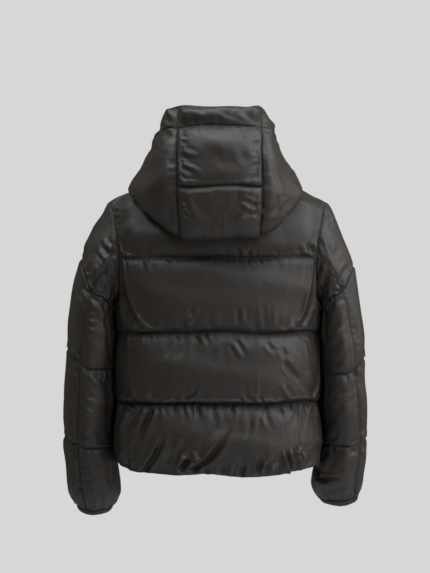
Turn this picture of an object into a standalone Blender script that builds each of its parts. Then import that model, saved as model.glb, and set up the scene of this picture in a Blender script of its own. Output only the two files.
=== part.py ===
"""Cropped hooded puffer jacket in its worn shape, hollow, as quilted panels.

Metres, +Z up. The front faces -Y and the wearer's left is +X. The origin is the
middle of the neck opening, level with the high points of the shoulders.

Each region of the jacket (back, fronts, sleeves, hood) is a grid of points on its
lining side. Rows run along the quilting seams and columns run across them. A panel
is a patch of such a grid, given a wall that is thin at its seams and thick between.
"""
import math

import bmesh
import bpy
import numpy as np
from mathutils import Matrix, Vector

# Walls
SEAM_GAP = 0.0003        # between two panels that are sewn together
SEAM_WALL = 0.004        # shell, filling and lining pressed flat at a seam
EDGE_WALL = 0.007        # turned edge at the hem and the hood's rim
BODY_PUFF = 0.024        # wall in the middle of a body tier
YOKE_PUFF = 0.019
SLEEVE_PUFF = 0.014
ARMPIT_PUFF = 0.0055     # where the under sleeve folds against the body
HOOD_PUFF = 0.022
HOOD_UNDER_PUFF = 0.010
BAND_PUFF = 0.018
CUFF_WALL = 0.006
PUFF_ROUNDNESS = 0.55    # exponent of the tier's sine profile, smaller is fuller
YOKE_FULLNESS = (0.0, 0.1, 0.85, 0.75, 0.0)   # flatter at the top, where the hood rests
ARMPIT_FULLNESS = (0.0, -0.9, 0.6, 0.8, 0.0)
SQUARENESS = 0.88        # exponent of the torso's sections, smaller is boxier
KEY_STEP = 1e-5          # points closer than this are one point of a seam
MITRE_LIMIT = 1.5        # most that a wall's direction is lengthened at a corner

# How the walls rise from a panel's own side edges, as shares of the puff, column by column
BODY_SIDE_RISE = (0.0, 0.3, 0.8)
CHEST_SIDE_RISE = (0.0, 0.0, 0.5)
ZIP_RISE = (0.0, 0.7)
SLEEVE_SEAM_RISE = (0.0, 0.75)
HOOD_SEAM_RISE = (0.0, 0.8)
HOOD_ZIP_RISE = (0.0, 0.6)
BAND_FULLNESS = (0.0, 0.85, 1.0, 0.0)       # row by row, from the band's seam to the rim

# Zip, closed up to the throat
ZIP_EDGE_X = 0.0115      # front panels end here, either side of the zip
TAPE_INNER_X = 0.0033
TAPE_OUTER_X = 0.0112
TAPE_HALF_WALL = 0.0004
CHAIN_HALF_WIDTH = 0.003
CHAIN_HALF_WALL = 0.0008
ZIP_BOTTOM_Z = -0.5960
BOTTOM_BOX_LENGTH = 0.009
SLIDER_Z = 0.052
TAPE_TOP_Z = 0.082
PLATE_HALF_WIDTH = 0.0042           # slider
PLATE_HALF_LENGTH = 0.005
PLATE_INNER = CHAIN_HALF_WALL + SEAM_GAP
PLATE_OUTER = PLATE_INNER + 0.001
POST_BOTTOM = 0.0026
POST_HALF_WIDTH = 0.002
ARCH_HALF_WIDTH = 0.0008
ARCH_FOOT = (-0.0031, -0.0019)      # along the zip
ARCH_HEAD = (0.0009, 0.0021)
ARCH_TOP = (0.0047, 0.0058)         # out of the jacket
OVERLAP = 0.0002                    # of the blocks that make up one solid
BAR_PLACE = (-0.0005, 0.0034)       # along the zip, out of the jacket
BAR_HALF = 0.0005
PULL_EYE = (0.0011, 0.0020)         # inner and outer face of each side of the eye
PULL_PLATE_TOP = 0.0042
PULL_HALF_WIDTH = 0.0034
PULL_LENGTH = 0.032
PULL_HALF_WALL = 0.0007
PULL_STAND_OFF = 0.0021             # of the pull's tip from the chain's middle
STOP_SIZE = (0.0022, 0.0010, 0.0026)
STOP_ABOVE_SLIDER = 0.0025
PATH_STEP = 0.002                   # least distance between points along the zip

# Neck and shoulder points of one half
NECK_BACK = (0.070, 0.008)          # y, z at the middle of the back
NECK_SIDE_X = 0.078
NECK_FRONT = (-0.095, -0.055)       # y, z at the middle of the front
SHOULDER_TIP = (0.224, 0.0, -0.047)
SHOULDER_ARCH = 0.009

# Columns of one half, and rows of a tier as shares of its height
NECK_BACK_COLUMNS = 6
NECK_FRONT_COLUMNS = 5
SHOULDER_COLUMNS_BACK = 4
SHOULDER_COLUMNS_FRONT = 5
CENTRE_COLUMNS = 3                  # of the hood's centre panel, in one half
YOKE_SHARES = (1.0, 0.78, 0.42, 0.12, 0.0)
CHEST_SHARES = (0.0, 0.08, 0.26, 0.48, 0.70, 0.88, 1.0)
TIER_SHARES = (0.0, 0.15, 0.5, 0.85, 1.0)
ARMHOLE_CHEST_ROWS = 4              # chest rows that end at the armhole

# Torso sections. "at" counts tiers down from the yoke seam. The edge is the armhole
# down to 0.70 (the underarm) and the side seam below it.
#     at   edge_z  back_x  back_y  front_x front_y  wrap  back_z  back_d  front_z front_d
TORSO_ROWS = (
    (0.00, -0.165, 0.2060, 0.078, 0.1970, -0.075, 58.0, -0.162, 0.116, -0.162, 0.122),
    (0.36, -0.228, 0.2050, 0.056, 0.1990, -0.054, 70.0, -0.220, 0.121, -0.219, 0.132),
    (0.70, -0.277, 0.2045, 0.000, 0.2045, 0.0000, 90.0, -0.274, 0.124, -0.273, 0.136),
    (1.00, -0.321, 0.2055, 0.000, 0.2055, 0.0000, 90.0, -0.322, 0.125, -0.320, 0.136),
    (1.50, -0.394, 0.2045, 0.000, 0.2045, 0.0000, 90.0, -0.396, 0.126, -0.394, 0.135),
    (2.00, -0.466, 0.2070, 0.000, 0.2070, 0.0000, 90.0, -0.470, 0.125, -0.466, 0.132),
    (2.50, -0.532, 0.2085, 0.000, 0.2085, 0.0000, 90.0, -0.546, 0.125, -0.534, 0.130),
    (3.00, -0.597, 0.2060, 0.000, 0.2060, 0.0000, 90.0, -0.620, 0.117, -0.600, 0.122),
)
BODY_TIERS = ("yoke", "chest", "waist", "hem")
YOKE_RISE_NECK_BACK = 62.0          # how far the yoke bends over at its top edge
YOKE_RISE_NECK_FRONT = 50.0
YOKE_RISE_SHOULDER = 90.0

# Sleeve rings below the armhole. "at" counts quilting seams. The ring runs from its
# outer point to its inner point; side_z is its height at the back and at the front.
#     at  outer_x outer_z side_z inner_x inner_z middle_y half_y back_seam front_seam
LEFT_RINGS = (
    (0.5, 0.2590, -0.108, -0.200, 0.2200, -0.279, 0.000, 0.078, 88.0, 88.0),
    (1.0, 0.2880, -0.168, -0.243, 0.2220, -0.293, 0.000, 0.073, 76.0, 82.0),
    (2.0, 0.3205, -0.360, -0.400, 0.2210, -0.398, -0.004, 0.067, 66.0, 76.0),
    (3.0, 0.3265, -0.545, -0.570, 0.2250, -0.566, -0.024, 0.060, 67.0, 76.0),
    (3.7, 0.3145, -0.656, -0.664, 0.2170, -0.660, -0.040, 0.056, 66.0, 76.0),
    (4.0, 0.3000, -0.692, -0.700, 0.2300, -0.697, -0.046, 0.035, 66.0, 76.0),
)
RIGHT_RINGS = (
    (0.5, 0.2510, -0.110, -0.200, 0.2200, -0.279, 0.000, 0.078, 88.0, 88.0),
    (1.0, 0.2845, -0.184, -0.243, 0.2220, -0.293, 0.000, 0.073, 80.0, 82.0),
    (2.0, 0.3085, -0.379, -0.410, 0.2210, -0.418, -0.008, 0.066, 60.0, 74.0),
    (3.0, 0.3125, -0.553, -0.566, 0.2250, -0.558, -0.036, 0.060, 52.0, 72.0),
    (3.7, 0.3040, -0.641, -0.648, 0.2100, -0.646, -0.056, 0.056, 48.0, 72.0),
    (4.0, 0.2985, -0.674, -0.684, 0.2240, -0.684, -0.062, 0.035, 46.0, 72.0),
)
SLEEVE_TIERS = ("shoulder", "elbow", "forearm", "wrist")
CUFF_LENGTH = 0.015
CUFF_TAPER = 0.94
RING_OUTER_BEND = 1.5               # how sharply a ring rises to its outer point
RING_INNER_BEND = 2.0
SLEEVE_OUTER_LOSS = 0.45            # share of the puff lost on the outer side
SLEEVE_INNER_LOSS = 0.50            # and where the arm presses on the body

# Hood, worn down: sections round the neck, as radius and height in five directions.
# It rolls out of the neck seam, goes down the back, folds and comes up to its rim.
HOOD_DIRECTIONS = (0.0, 26.0, 55.0, 90.0, 180.0)    # back, seam, corner, side, front
#     at  seam_x back_r back_z  seam_r  seam_z  cornr_r cornr_z side_r  side_z front_r front_z
HOOD_RINGS = (
    (0.00, 0.055, 0.070, 0.008, 0.0710, 0.0070, 0.0735, 0.0045, 0.0780, 0.000, 0.0957, -0.055),
    (0.25, 0.058, 0.079, 0.036, 0.0800, 0.0360, 0.0830, 0.0340, 0.0880, 0.028, 0.1030, -0.038),
    (0.50, 0.064, 0.104, 0.024, 0.1050, 0.0250, 0.1090, 0.0270, 0.1140, 0.027, 0.1080, -0.022),
    (0.75, 0.072, 0.134, -0.038, 0.1370, -0.034, 0.1420, -0.004, 0.1370, 0.017, 0.1110, -0.010),
    (1.00, 0.080, 0.154, -0.093, 0.1620, -0.094, 0.1730, -0.038, 0.1530, 0.009, 0.1125, 0.0020),
    (1.25, 0.084, 0.171, -0.114, 0.1800, -0.119, 0.1920, -0.054, 0.1620, 0.008, 0.1130, 0.0100),
    (1.50, 0.084, 0.189, -0.093, 0.1970, -0.097, 0.1990, -0.041, 0.1610, 0.015, 0.1130, 0.0180),
    (2.00, 0.084, 0.205, -0.021, 0.2080, -0.021, 0.1900, 0.0000, 0.1410, 0.035, 0.1125, 0.0340),
    (2.50, 0.084, 0.201, 0.0450, 0.2000, 0.0450, 0.1620, 0.0480, 0.1180, 0.062, 0.1110, 0.0500),
    (3.00, 0.084, 0.183, 0.1040, 0.1800, 0.1030, 0.1420, 0.0970, 0.1040, 0.087, 0.1085, 0.0640),
    (3.50, 0.084, 0.173, 0.1290, 0.1680, 0.1270, 0.1310, 0.1190, 0.0970, 0.105, 0.1050, 0.0760),
    (4.00, 0.084, 0.159, 0.1440, 0.1530, 0.1420, 0.1210, 0.1340, 0.0920, 0.119, 0.1010, 0.0860),
)
HOOD_TIER_SHARES = (
    (0.0, 0.2, 0.5, 0.8, 1.0),
    (0.0, 0.15, 0.3, 0.55, 0.85, 1.0),
    (0.0, 0.2, 0.5, 0.8, 1.0),
    (0.0, 0.3, 0.7, 1.0),
)
#                at   share of HOOD_PUFF, down the unquilted side panels
HOOD_SIDE_PUFF = (
    (0.0, 0.0), (0.3, 0.04), (0.6, 0.2), (1.0, 0.3), (1.6, 0.8), (2.3, 1.0), (2.7, 0.7), (3.0, 0.0),
)
# Its middle sits a little to one side, its sides the other way, and the rim is tilted.
HOOD_MIDDLE_SHIFT = -0.0035
HOOD_SIDE_SHIFT = 0.0055
HOOD_RIM_TILT = 0.05

SHELL_COLOUR = (0.030, 0.029, 0.028)
TAPE_COLOUR = (0.018, 0.018, 0.019)
METAL_COLOUR = (0.16, 0.16, 0.17)


# Interpolation

def smooth(knots, values, at):
    """Monotone cubic through values (one row for each knot), read at the places at."""
    knots = np.asarray(knots, float)
    values = np.asarray(values, float)
    steps = np.diff(knots).reshape((-1,) + (1,) * (values.ndim - 1))
    rates = np.diff(values, axis=0) / steps
    slopes = np.empty_like(values)
    slopes[0], slopes[-1] = rates[0], rates[-1]
    product = rates[:-1] * rates[1:]
    total = rates[:-1] + rates[1:]
    agree = product > 0
    slopes[1:-1] = np.where(agree, 2 * product / np.where(agree, total, 1), 0)
    result = []
    for place in np.atleast_1d(at):
        k = int(np.clip(np.searchsorted(knots, place, side="right") - 1, 0, len(knots) - 2))
        step = knots[k + 1] - knots[k]
        t = (place - knots[k]) / step
        result.append((1 + 2 * t) * (1 - t) ** 2 * values[k] + t * (1 - t) ** 2 * step * slopes[k]
                      + t * t * (3 - 2 * t) * values[k + 1] + t * t * (t - 1) * step * slopes[k + 1])
    return np.array(result)


def read_table(table, at):
    """The table's other columns at the places given, one row for each place."""
    table = np.array(table)
    return smooth(table[:, 0], table[:, 1:], at)


def tier_places(first, shares):
    """Places from tier number first down through the shares of that tier."""
    return [first + share for share in shares]


# Surfaces of the lining side

def neck_curve():
    """Half the neck seam, from the middle of the back to the zip."""
    points = []
    for k in range(NECK_BACK_COLUMNS + 1):
        turn = math.radians(90) * k / NECK_BACK_COLUMNS
        points.append((NECK_SIDE_X * math.sin(turn),
                       NECK_BACK[0] * math.cos(turn), NECK_BACK[1] * math.cos(turn)))
    for k in range(1, NECK_FRONT_COLUMNS + 1):
        turn = math.radians(90) * k / NECK_FRONT_COLUMNS
        points.append((ZIP_EDGE_X + (NECK_SIDE_X - ZIP_EDGE_X) * math.cos(turn),
                       NECK_FRONT[0] * math.sin(turn), NECK_FRONT[1] * (1 - math.cos(turn))))
    return np.array(points)


def shoulder_line(columns):
    """Shoulder seam from the neck to the sleeve, without its first point."""
    points = []
    for k in range(1, columns + 1):
        share = k / columns
        x = NECK_SIDE_X + (SHOULDER_TIP[0] - NECK_SIDE_X) * share
        z = SHOULDER_TIP[2] * share + SHOULDER_ARCH * math.sin(math.pi * share)
        points.append((x, SHOULDER_TIP[1], z))
    return np.array(points)


def torso_row(middle, edge, wrap, columns):
    """One section from its middle to its edge, as a boxy arc of wrap degrees."""
    wrap = math.radians(wrap)
    points = []
    for share in np.linspace(0, 1, columns + 1):
        turn = wrap * share
        across = (math.sin(turn) / math.sin(wrap)) ** SQUARENESS
        inward = max(0.0, (math.cos(turn) - math.cos(wrap)) / (1 - math.cos(wrap))) ** SQUARENESS
        points.append((middle[0] + (edge[0] - middle[0]) * across,
                       edge[1] + (middle[1] - edge[1]) * inward,
                       middle[2] + (edge[2] - middle[2]) * share ** 2))
    return np.array(points)


def yoke_rows(top, seam, rises):
    """Rows from the top edge down to the yoke seam, bending over the shoulder."""
    rows = []
    for share in YOKE_SHARES[:-1]:
        row = []
        for upper, lower, rise in zip(top, seam, rises):
            full = math.radians(rise)
            turn = full * share
            ahead = (math.cos(turn) - math.cos(full)) / (1 - math.cos(full))
            up = math.sin(turn) / math.sin(full)
            row.append((lower[0] + (upper[0] - lower[0]) * share,
                        upper[1] + (lower[1] - upper[1]) * ahead,
                        lower[2] + (upper[2] - lower[2]) * up))
        rows.append(row)
    return rows


def torso_half(front):
    """Half the back or a front, from its middle to its edge, top row first."""
    neck = neck_curve()
    if front:
        top = np.vstack((neck[:NECK_BACK_COLUMNS - 1:-1], shoulder_line(SHOULDER_COLUMNS_FRONT)))
        neck_columns, rise_middle = NECK_FRONT_COLUMNS, YOKE_RISE_NECK_FRONT
    else:
        top = np.vstack((neck[:NECK_BACK_COLUMNS + 1], shoulder_line(SHOULDER_COLUMNS_BACK)))
        neck_columns, rise_middle = NECK_BACK_COLUMNS, YOKE_RISE_NECK_BACK
    columns = len(top) - 1
    places = tier_places(0, CHEST_SHARES)
    for tier in (1, 2):
        places += tier_places(tier, TIER_SHARES[1:])
    lower = []
    for row in read_table(TORSO_ROWS, places):
        edge_z, back_x, back_y, front_x, front_y, wrap, back_z, back_d, front_z, front_d = row
        if front:
            middle, edge = (ZIP_EDGE_X, -front_d, front_z), (front_x, front_y, edge_z)
        else:
            middle, edge = (0.0, back_d, back_z), (back_x, back_y, edge_z)
        lower.append(torso_row(middle, edge, wrap, columns))
    rises = [rise_middle + (YOKE_RISE_SHOULDER - rise_middle) * min(1, k / neck_columns)
             for k in range(columns + 1)]
    return np.array(yoke_rows(top, lower[0], rises) + lower)


def mirrored(grid):
    """The same grid on the other side, its columns reversed to keep its outside out."""
    return grid[:, ::-1] * np.array((-1, 1, 1))


def sleeve_ring(ring, turns):
    """Points of one ring; turn 0 is its outer point, 90 its back, 180 its inner."""
    outer_x, outer_z, side_z, inner_x, inner_z, middle_y, half_y = ring[:7]
    points = []
    for turn in np.radians(turns):
        out = math.cos(turn)
        z = side_z + (outer_z - side_z) * max(out, 0) ** RING_OUTER_BEND
        z += (inner_z - side_z) * max(-out, 0) ** RING_INNER_BEND
        points.append(((outer_x + inner_x) / 2 + (outer_x - inner_x) / 2 * out,
                       middle_y + half_y * math.sin(turn), z))
    return points


def ring_turns(back_seam, front_seam):
    """Angles of a ring's columns: back seam, outside, front seam, underside, back seam."""
    upper, under = len(YOKE_SHARES) - 1, ARMHOLE_CHEST_ROWS
    turns = [back_seam * (1 - k / upper) for k in range(upper)]
    turns += [-front_seam * k / upper for k in range(upper)]
    turns += [-front_seam - (180 - front_seam) * k / under for k in range(under)]
    turns += [-180 - (180 - back_seam) * k / under for k in range(under)]
    return turns


def armhole_loop(back_half, front_half):
    """The armhole's points in the order of ring_turns."""
    shoulder_rows = len(YOKE_SHARES) - 1
    last = shoulder_rows + ARMHOLE_CHEST_ROWS
    back, front = back_half[:last + 1, -1], front_half[:last + 1, -1]
    return np.vstack((back[shoulder_rows:0:-1], front[:last], back[last:shoulder_rows:-1]))


def left_sleeve(armhole, rings):
    """Grid of a left sleeve; the last column meets the first."""
    table = np.array(rings)
    knots = np.concatenate(([0.0], table[:, 0]))
    loops = [armhole] + [sleeve_ring(row[1:], ring_turns(row[8], row[9])) for row in table]
    places = sorted({place for tier in range(len(SLEEVE_TIERS))
                     for place in tier_places(tier, TIER_SHARES)})
    return smooth(knots, np.array(loops), places)


def hood_radius(ring, angle):
    """Radius and height of one hood section in a direction; 0 is the back, 180 the zip."""
    directions = np.array(HOOD_DIRECTIONS)
    stations = np.concatenate((-directions[:0:-1], directions, 360 - directions[-2::-1]))
    sections = np.array(ring[1:]).reshape(-1, 2)
    sections = np.vstack((sections[:0:-1], sections, sections[-2::-1]))
    return smooth(stations, sections, [angle])[0]


def hood_half():
    """Half the hood from the middle of the back to the zip, neck row first."""
    places = sorted({place for tier, shares in enumerate(HOOD_TIER_SHARES)
                     for place in tier_places(tier, shares)})
    side_columns = NECK_BACK_COLUMNS + NECK_FRONT_COLUMNS - CENTRE_COLUMNS
    rows = [neck_curve()]
    for ring in read_table(HOOD_RINGS, places[1:]):
        seam_angle = math.asin(ring[0] / ring[1])
        for _ in range(3):
            seam_angle = math.asin(ring[0] / hood_radius(ring, math.degrees(seam_angle))[0])
        seam_angle = math.degrees(seam_angle)
        zip_angle = 180 - math.degrees(math.asin(ZIP_EDGE_X / ring[-2]))
        angles = [seam_angle * k / CENTRE_COLUMNS for k in range(CENTRE_COLUMNS)]
        angles += list(np.linspace(seam_angle, zip_angle, side_columns + 1))
        row = []
        for angle in angles:
            radius, z = hood_radius(ring, angle)
            turn = math.radians(angle)
            row.append((radius * math.sin(turn), radius * math.cos(turn), z))
        rows.append(row)
    return np.array(rows), places


def leaned(grid, places):
    """The whole hood, settled unevenly as it is worn."""
    def ease(value):
        value = np.clip(value, 0, 1)
        return value * value * (3 - 2 * value)

    x, y = grid[:, :, 0], grid[:, :, 1]
    places = np.array(places)[:, None]
    behind = ease((y + 0.04) / 0.06)
    out = ease((np.abs(x) - 0.084) / 0.066)
    moved = grid.copy()
    shift = HOOD_MIDDLE_SHIFT + (HOOD_SIDE_SHIFT - HOOD_MIDDLE_SHIFT) * out
    moved[:, :, 0] += shift * ease(places) * behind
    moved[:, :, 2] += HOOD_RIM_TILT * x * ease(places - 3) * behind
    return moved


# Directions in which the walls grow

def grid_normals(grid, closed):
    """Outward normals of a grid whose columns cross its rows outward."""
    if closed:
        along = np.roll(grid, -1, axis=1) - np.roll(grid, 1, axis=1)
    else:
        along = np.gradient(grid, axis=1)
    normals = np.cross(along, np.gradient(grid, axis=0))
    return normals / np.linalg.norm(normals, axis=2, keepdims=True)


def wall_directions(regions):
    """For each region, the vector per metre of wall; regions that share a seam agree."""
    total, count = {}, {}
    normals = {name: grid_normals(grid, name.startswith("sleeve")) for name, grid in regions.items()}
    keys = {name: [[tuple(np.round(point / KEY_STEP).astype(int)) for point in row] for row in grid]
            for name, grid in regions.items()}
    for name, rows in keys.items():
        for key_row, normal_row in zip(rows, normals[name]):
            for key, normal in zip(key_row, normal_row):
                total[key] = total.get(key, 0) + normal
                count[key] = count.get(key, 0) + 1
    directions = {}
    for name, rows in keys.items():
        directions[name] = np.array([[mitre(total[key], count[key]) for key in row] for row in rows])
    return directions


def mitre(total, count):
    """Mean direction, lengthened so that each wall keeps its thickness at the corner."""
    length = np.linalg.norm(total)
    return total / length * min(MITRE_LIMIT, count / length)


# Solids

def material(name, colour, roughness, metallic=0.0):
    made = bpy.data.materials.new(name)
    made.use_nodes = True
    shader = made.node_tree.nodes["Principled BSDF"]
    shader.inputs["Base Color"].default_value = (*colour, 1)
    shader.inputs["Roughness"].default_value = roughness
    shader.inputs["Metallic"].default_value = metallic
    return made


def add_object(name, vertices, faces, finish):
    """A closed mesh object with its faces pointing out."""
    mesh = bpy.data.meshes.new(name)
    mesh.from_pydata([tuple(map(float, v)) for v in vertices], [], faces)
    cleaner = bmesh.new()
    cleaner.from_mesh(mesh)
    bmesh.ops.recalc_face_normals(cleaner, faces=cleaner.faces)
    cleaner.to_mesh(mesh)
    cleaner.free()
    mesh.materials.append(finish)
    mesh.shade_smooth()
    mesh.set_sharp_from_angle(angle=math.radians(40))
    made = bpy.data.objects.new(name, mesh)
    bpy.context.scene.collection.objects.link(made)
    return made


def unit(vectors):
    return vectors / np.linalg.norm(vectors, axis=1, keepdims=True)


def pull_in(base, outer, closed):
    """Moves the border of a wall half a seam gap towards its own panel."""
    base, outer = base.copy(), outer.copy()
    sides = [(0, 1, True), (-1, -2, True)]
    if not closed:
        sides += [(0, 1, False), (-1, -2, False)]
    for border, inside, is_row in sides:
        pick = (lambda grid, k: grid[k]) if is_row else (lambda grid, k: grid[:, k])
        edge, inner, shell = pick(base, border), pick(base, inside), pick(outer, border)
        ahead = np.roll(edge, -1, axis=0) - edge
        if not (is_row and closed):
            ahead[-1] = ahead[-2]
        behind = np.roll(ahead, 1, axis=0)
        if not (is_row and closed):
            behind[0] = ahead[0]
        sideways = []
        for run in (behind, ahead):
            across = unit(np.cross(run, shell - edge))
            sideways.append(across * np.sign(np.sum(across * (inner - edge), axis=1, keepdims=True)))
        agreement = 1 + np.sum(sideways[0] * sideways[1], axis=1, keepdims=True)
        inward = (sideways[0] + sideways[1]) / agreement * SEAM_GAP / 2
        edge += inward
        shell += inward
    return base, outer


def wall_solid(name, base, direction, thickness, finish, closed=False):
    """Closed solid between a patch of the lining side and the shell above it."""
    outer = base + direction * thickness[:, :, None]
    rows, columns = base.shape[:2]
    order = [tuple(np.round(point[::-1] / KEY_STEP).astype(int)) for point in base.reshape(-1, 3)]
    base, outer = pull_in(base, outer, closed)
    half = rows * columns
    vertices = np.vstack((base.reshape(-1, 3), outer.reshape(-1, 3)))
    spans = range(columns) if closed else range(columns - 1)
    faces = []
    for i in range(rows - 1):
        for j in spans:
            k = (j + 1) % columns
            quad = (i * columns + j, i * columns + k, (i + 1) * columns + k, (i + 1) * columns + j)
            faces.append(quad)
            faces.append(tuple(half + v for v in reversed(quad)))
    borders = [(i * columns + j, i * columns + (j + 1) % columns)
               for i in (0, rows - 1) for j in spans]
    if not closed:
        borders += [(i * columns + j, (i + 1) * columns + j)
                    for j in (0, columns - 1) for i in range(rows - 1)]
    for pair in borders:
        a, b = sorted(pair, key=lambda v: order[v])
        faces += [(a, b, half + b), (a, half + b, half + a)]
    return add_object(name, vertices, faces, finish)


def tier_profile(shares):
    """Fullness down a tier: 0 at its seams, 1 half way."""
    shares = np.asarray(shares, float)
    shares = (shares - shares[0]) / (shares[-1] - shares[0])
    return np.clip(np.sin(np.pi * shares), 0, 1) ** PUFF_ROUNDNESS


def column_profile(count, rises_left, rises_right):
    """Fullness across a panel, rising from each seamed edge by the shares given."""
    profile = np.ones(count)
    for k, share in enumerate(rises_left):
        profile[k] = min(profile[k], share)
    for k, share in enumerate(rises_right):
        profile[-1 - k] = min(profile[-1 - k], share)
    return profile


def puffed(down, across, puff, first_wall=SEAM_WALL, last_wall=SEAM_WALL):
    """Wall thickness of each point of a panel."""
    fullness = np.outer(down, across)
    seam = np.full(fullness.shape, SEAM_WALL)
    seam[0], seam[-1] = first_wall, last_wall
    return seam + (puff - SEAM_WALL) * fullness


class Jacket:
    """All the cloth grids of the jacket and the directions of their walls."""

    def __init__(self):
        back_half, front_half = torso_half(front=False), torso_half(front=True)
        armhole = armhole_loop(back_half, front_half)
        hood, self.hood_places = hood_half()
        hood = np.hstack((hood[:, ::-1], hood[:, 1:] * np.array((-1, 1, 1))))
        right = left_sleeve(armhole, RIGHT_RINGS)
        self.regions = {
            "back": np.hstack((mirrored(back_half), back_half[:, 1:])),
            "front_left": front_half[:, ::-1],
            "front_right": front_half * np.array((-1, 1, 1)),
            "sleeve_left": left_sleeve(armhole, LEFT_RINGS),
            "sleeve_right": mirrored(np.hstack((right[:, 1:], right[:, :1]))),
            "hood": leaned(hood, self.hood_places),
        }
        self.directions = wall_directions(self.regions)

    def panel(self, name, region, rows, columns, thickness, finish):
        """One named panel: a patch of a region between two rows and two columns."""
        patch = (slice(rows[0], rows[1] + 1), slice(columns[0], columns[1] + 1))
        grid, direction = self.regions[region], self.directions[region]
        return wall_solid(name, grid[patch], direction[patch], thickness, finish)

    def tube_panel(self, name, region, rows, span, thickness, finish):
        """A panel of a sleeve; the span is its first column and its width in columns."""
        grid, direction = self.regions[region], self.directions[region]
        picks = [(span[0] + k) % grid.shape[1] for k in range(span[1] + 1)]
        length = slice(rows[0], rows[1] + 1)
        return wall_solid(name, grid[length][:, picks], direction[length][:, picks], thickness, finish)


def body_panels(jacket, finish):
    """Back and fronts, four tiers each."""
    tier_shares = (YOKE_SHARES, CHEST_SHARES, TIER_SHARES, TIER_SHARES)
    for region in ("back", "front_left", "front_right"):
        columns = jacket.regions[region].shape[1]
        first_row = 0
        for tier, shares in zip(BODY_TIERS, tier_shares):
            last_row = first_row + len(shares) - 1
            puff = YOKE_PUFF if tier == "yoke" else BODY_PUFF
            last_wall = EDGE_WALL if tier == "hem" else SEAM_WALL
            rise = CHEST_SIDE_RISE if tier == "chest" else BODY_SIDE_RISE
            across = column_profile(columns, ZIP_RISE if region == "front_right" else rise,
                                    ZIP_RISE if region == "front_left" else rise)
            down = YOKE_FULLNESS if tier == "yoke" else tier_profile(shares)
            thickness = puffed(down, across, puff, last_wall=last_wall)
            jacket.panel(f"{region}_{tier}", region, (first_row, last_row), (0, columns - 1),
                         thickness, finish)
            first_row = last_row


def sleeve_panels(jacket, side, rings, finish):
    """Upper and under sleeve in four tiers, and the elastic binding at the wrist."""
    region = f"sleeve_{side}"
    upper, under = 2 * (len(YOKE_SHARES) - 1), 2 * ARMHOLE_CHEST_ROWS
    turns = np.radians(ring_turns(rings[2][8], rings[2][9]))
    out = np.cos(turns if side == "left" else np.roll(turns, -1)[::-1])
    loss = 1 - SLEEVE_OUTER_LOSS * np.clip(out, 0, 1) - SLEEVE_INNER_LOSS * np.clip(-out, 0, 1)
    first = 0 if side == "left" else int(np.argmax(out)) - upper // 2
    starts = {"upper": (first, upper), "under": (first + upper, under)}
    for tier, tier_name in enumerate(SLEEVE_TIERS):
        rows = (tier * (len(TIER_SHARES) - 1), (tier + 1) * (len(TIER_SHARES) - 1))
        for half, (start, count) in starts.items():
            picks = [(start + k) % len(out) for k in range(count + 1)]
            across = column_profile(count + 1, SLEEVE_SEAM_RISE, SLEEVE_SEAM_RISE) * loss[picks]
            if half == "under" and tier == 0:
                thickness = puffed(ARMPIT_FULLNESS, across, ARMPIT_PUFF)
            else:
                thickness = puffed(tier_profile(TIER_SHARES), across, SLEEVE_PUFF)
            jacket.tube_panel(f"sleeve_{side}_{half}_{tier_name}", region, rows, (start, count),
                              thickness, finish)
    cuff_solid(jacket, side, finish)


def cuff_solid(jacket, side, finish):
    """Narrow gathered binding that carries on from the sleeve's last row."""
    last = jacket.regions[f"sleeve_{side}"][-1]
    direction = jacket.directions[f"sleeve_{side}"][-1]
    middle = last.mean(axis=0)
    rows = []
    for share in (0.0, 0.5, 1.0):
        row = middle + (last - middle) * (1 - (1 - CUFF_TAPER) * share)
        row[:, 2] -= CUFF_LENGTH * share
        rows.append(row)
    grid = np.array(rows)
    directions = np.array([direction, *grid_normals(grid, True)[1:]])
    thickness = np.full(grid.shape[:2], CUFF_WALL)
    thickness[0] = SEAM_WALL
    wall_solid(f"cuff_{side}", grid, directions, thickness, finish, closed=True)


def hood_panels(jacket, finish):
    """Centre panel in three tiers, two side panels and the rim band in three lengths."""
    columns = jacket.regions["hood"].shape[1]
    middle = columns // 2
    centre = (middle - CENTRE_COLUMNS, middle + CENTRE_COLUMNS)
    counts = [len(shares) - 1 for shares in HOOD_TIER_SHARES]
    stops = [sum(counts[:k]) for k in range(len(counts) + 1)]
    across = column_profile(2 * CENTRE_COLUMNS + 1, HOOD_SEAM_RISE, HOOD_SEAM_RISE)
    centre_puffs = {"under": HOOD_UNDER_PUFF, "lower": HOOD_PUFF, "upper": HOOD_PUFF}
    for tier, (name, puff) in enumerate(centre_puffs.items()):
        thickness = puffed(tier_profile(HOOD_TIER_SHARES[tier]), across, puff)
        jacket.panel(f"hood_centre_{name}", "hood", (stops[tier], stops[tier + 1]), centre,
                     thickness, finish)

    spans = {"left": (0, centre[0], HOOD_ZIP_RISE, HOOD_SEAM_RISE),
             "right": (centre[1], columns - 1, HOOD_SEAM_RISE, HOOD_ZIP_RISE)}
    places = np.array(jacket.hood_places)
    down = read_table(HOOD_SIDE_PUFF, places[:stops[3] + 1])[:, 0]
    for side, (first, last, rise_first, rise_last) in spans.items():
        across_side = column_profile(last - first + 1, rise_first, rise_last)
        thickness = puffed(down, across_side, HOOD_PUFF)
        jacket.panel(f"hood_side_{side}", "hood", (0, stops[3]), (first, last), thickness, finish)

    pieces = {"back": (*centre, HOOD_SEAM_RISE, HOOD_SEAM_RISE), **spans}
    for name, (first, last, rise_first, rise_last) in pieces.items():
        across_band = column_profile(last - first + 1, rise_first, rise_last)
        thickness = puffed(BAND_FULLNESS, across_band, BAND_PUFF, last_wall=EDGE_WALL)
        jacket.panel(f"hood_band_{name}", "hood", (stops[3], stops[4]), (first, last),
                     thickness, finish)


# Zip

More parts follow.
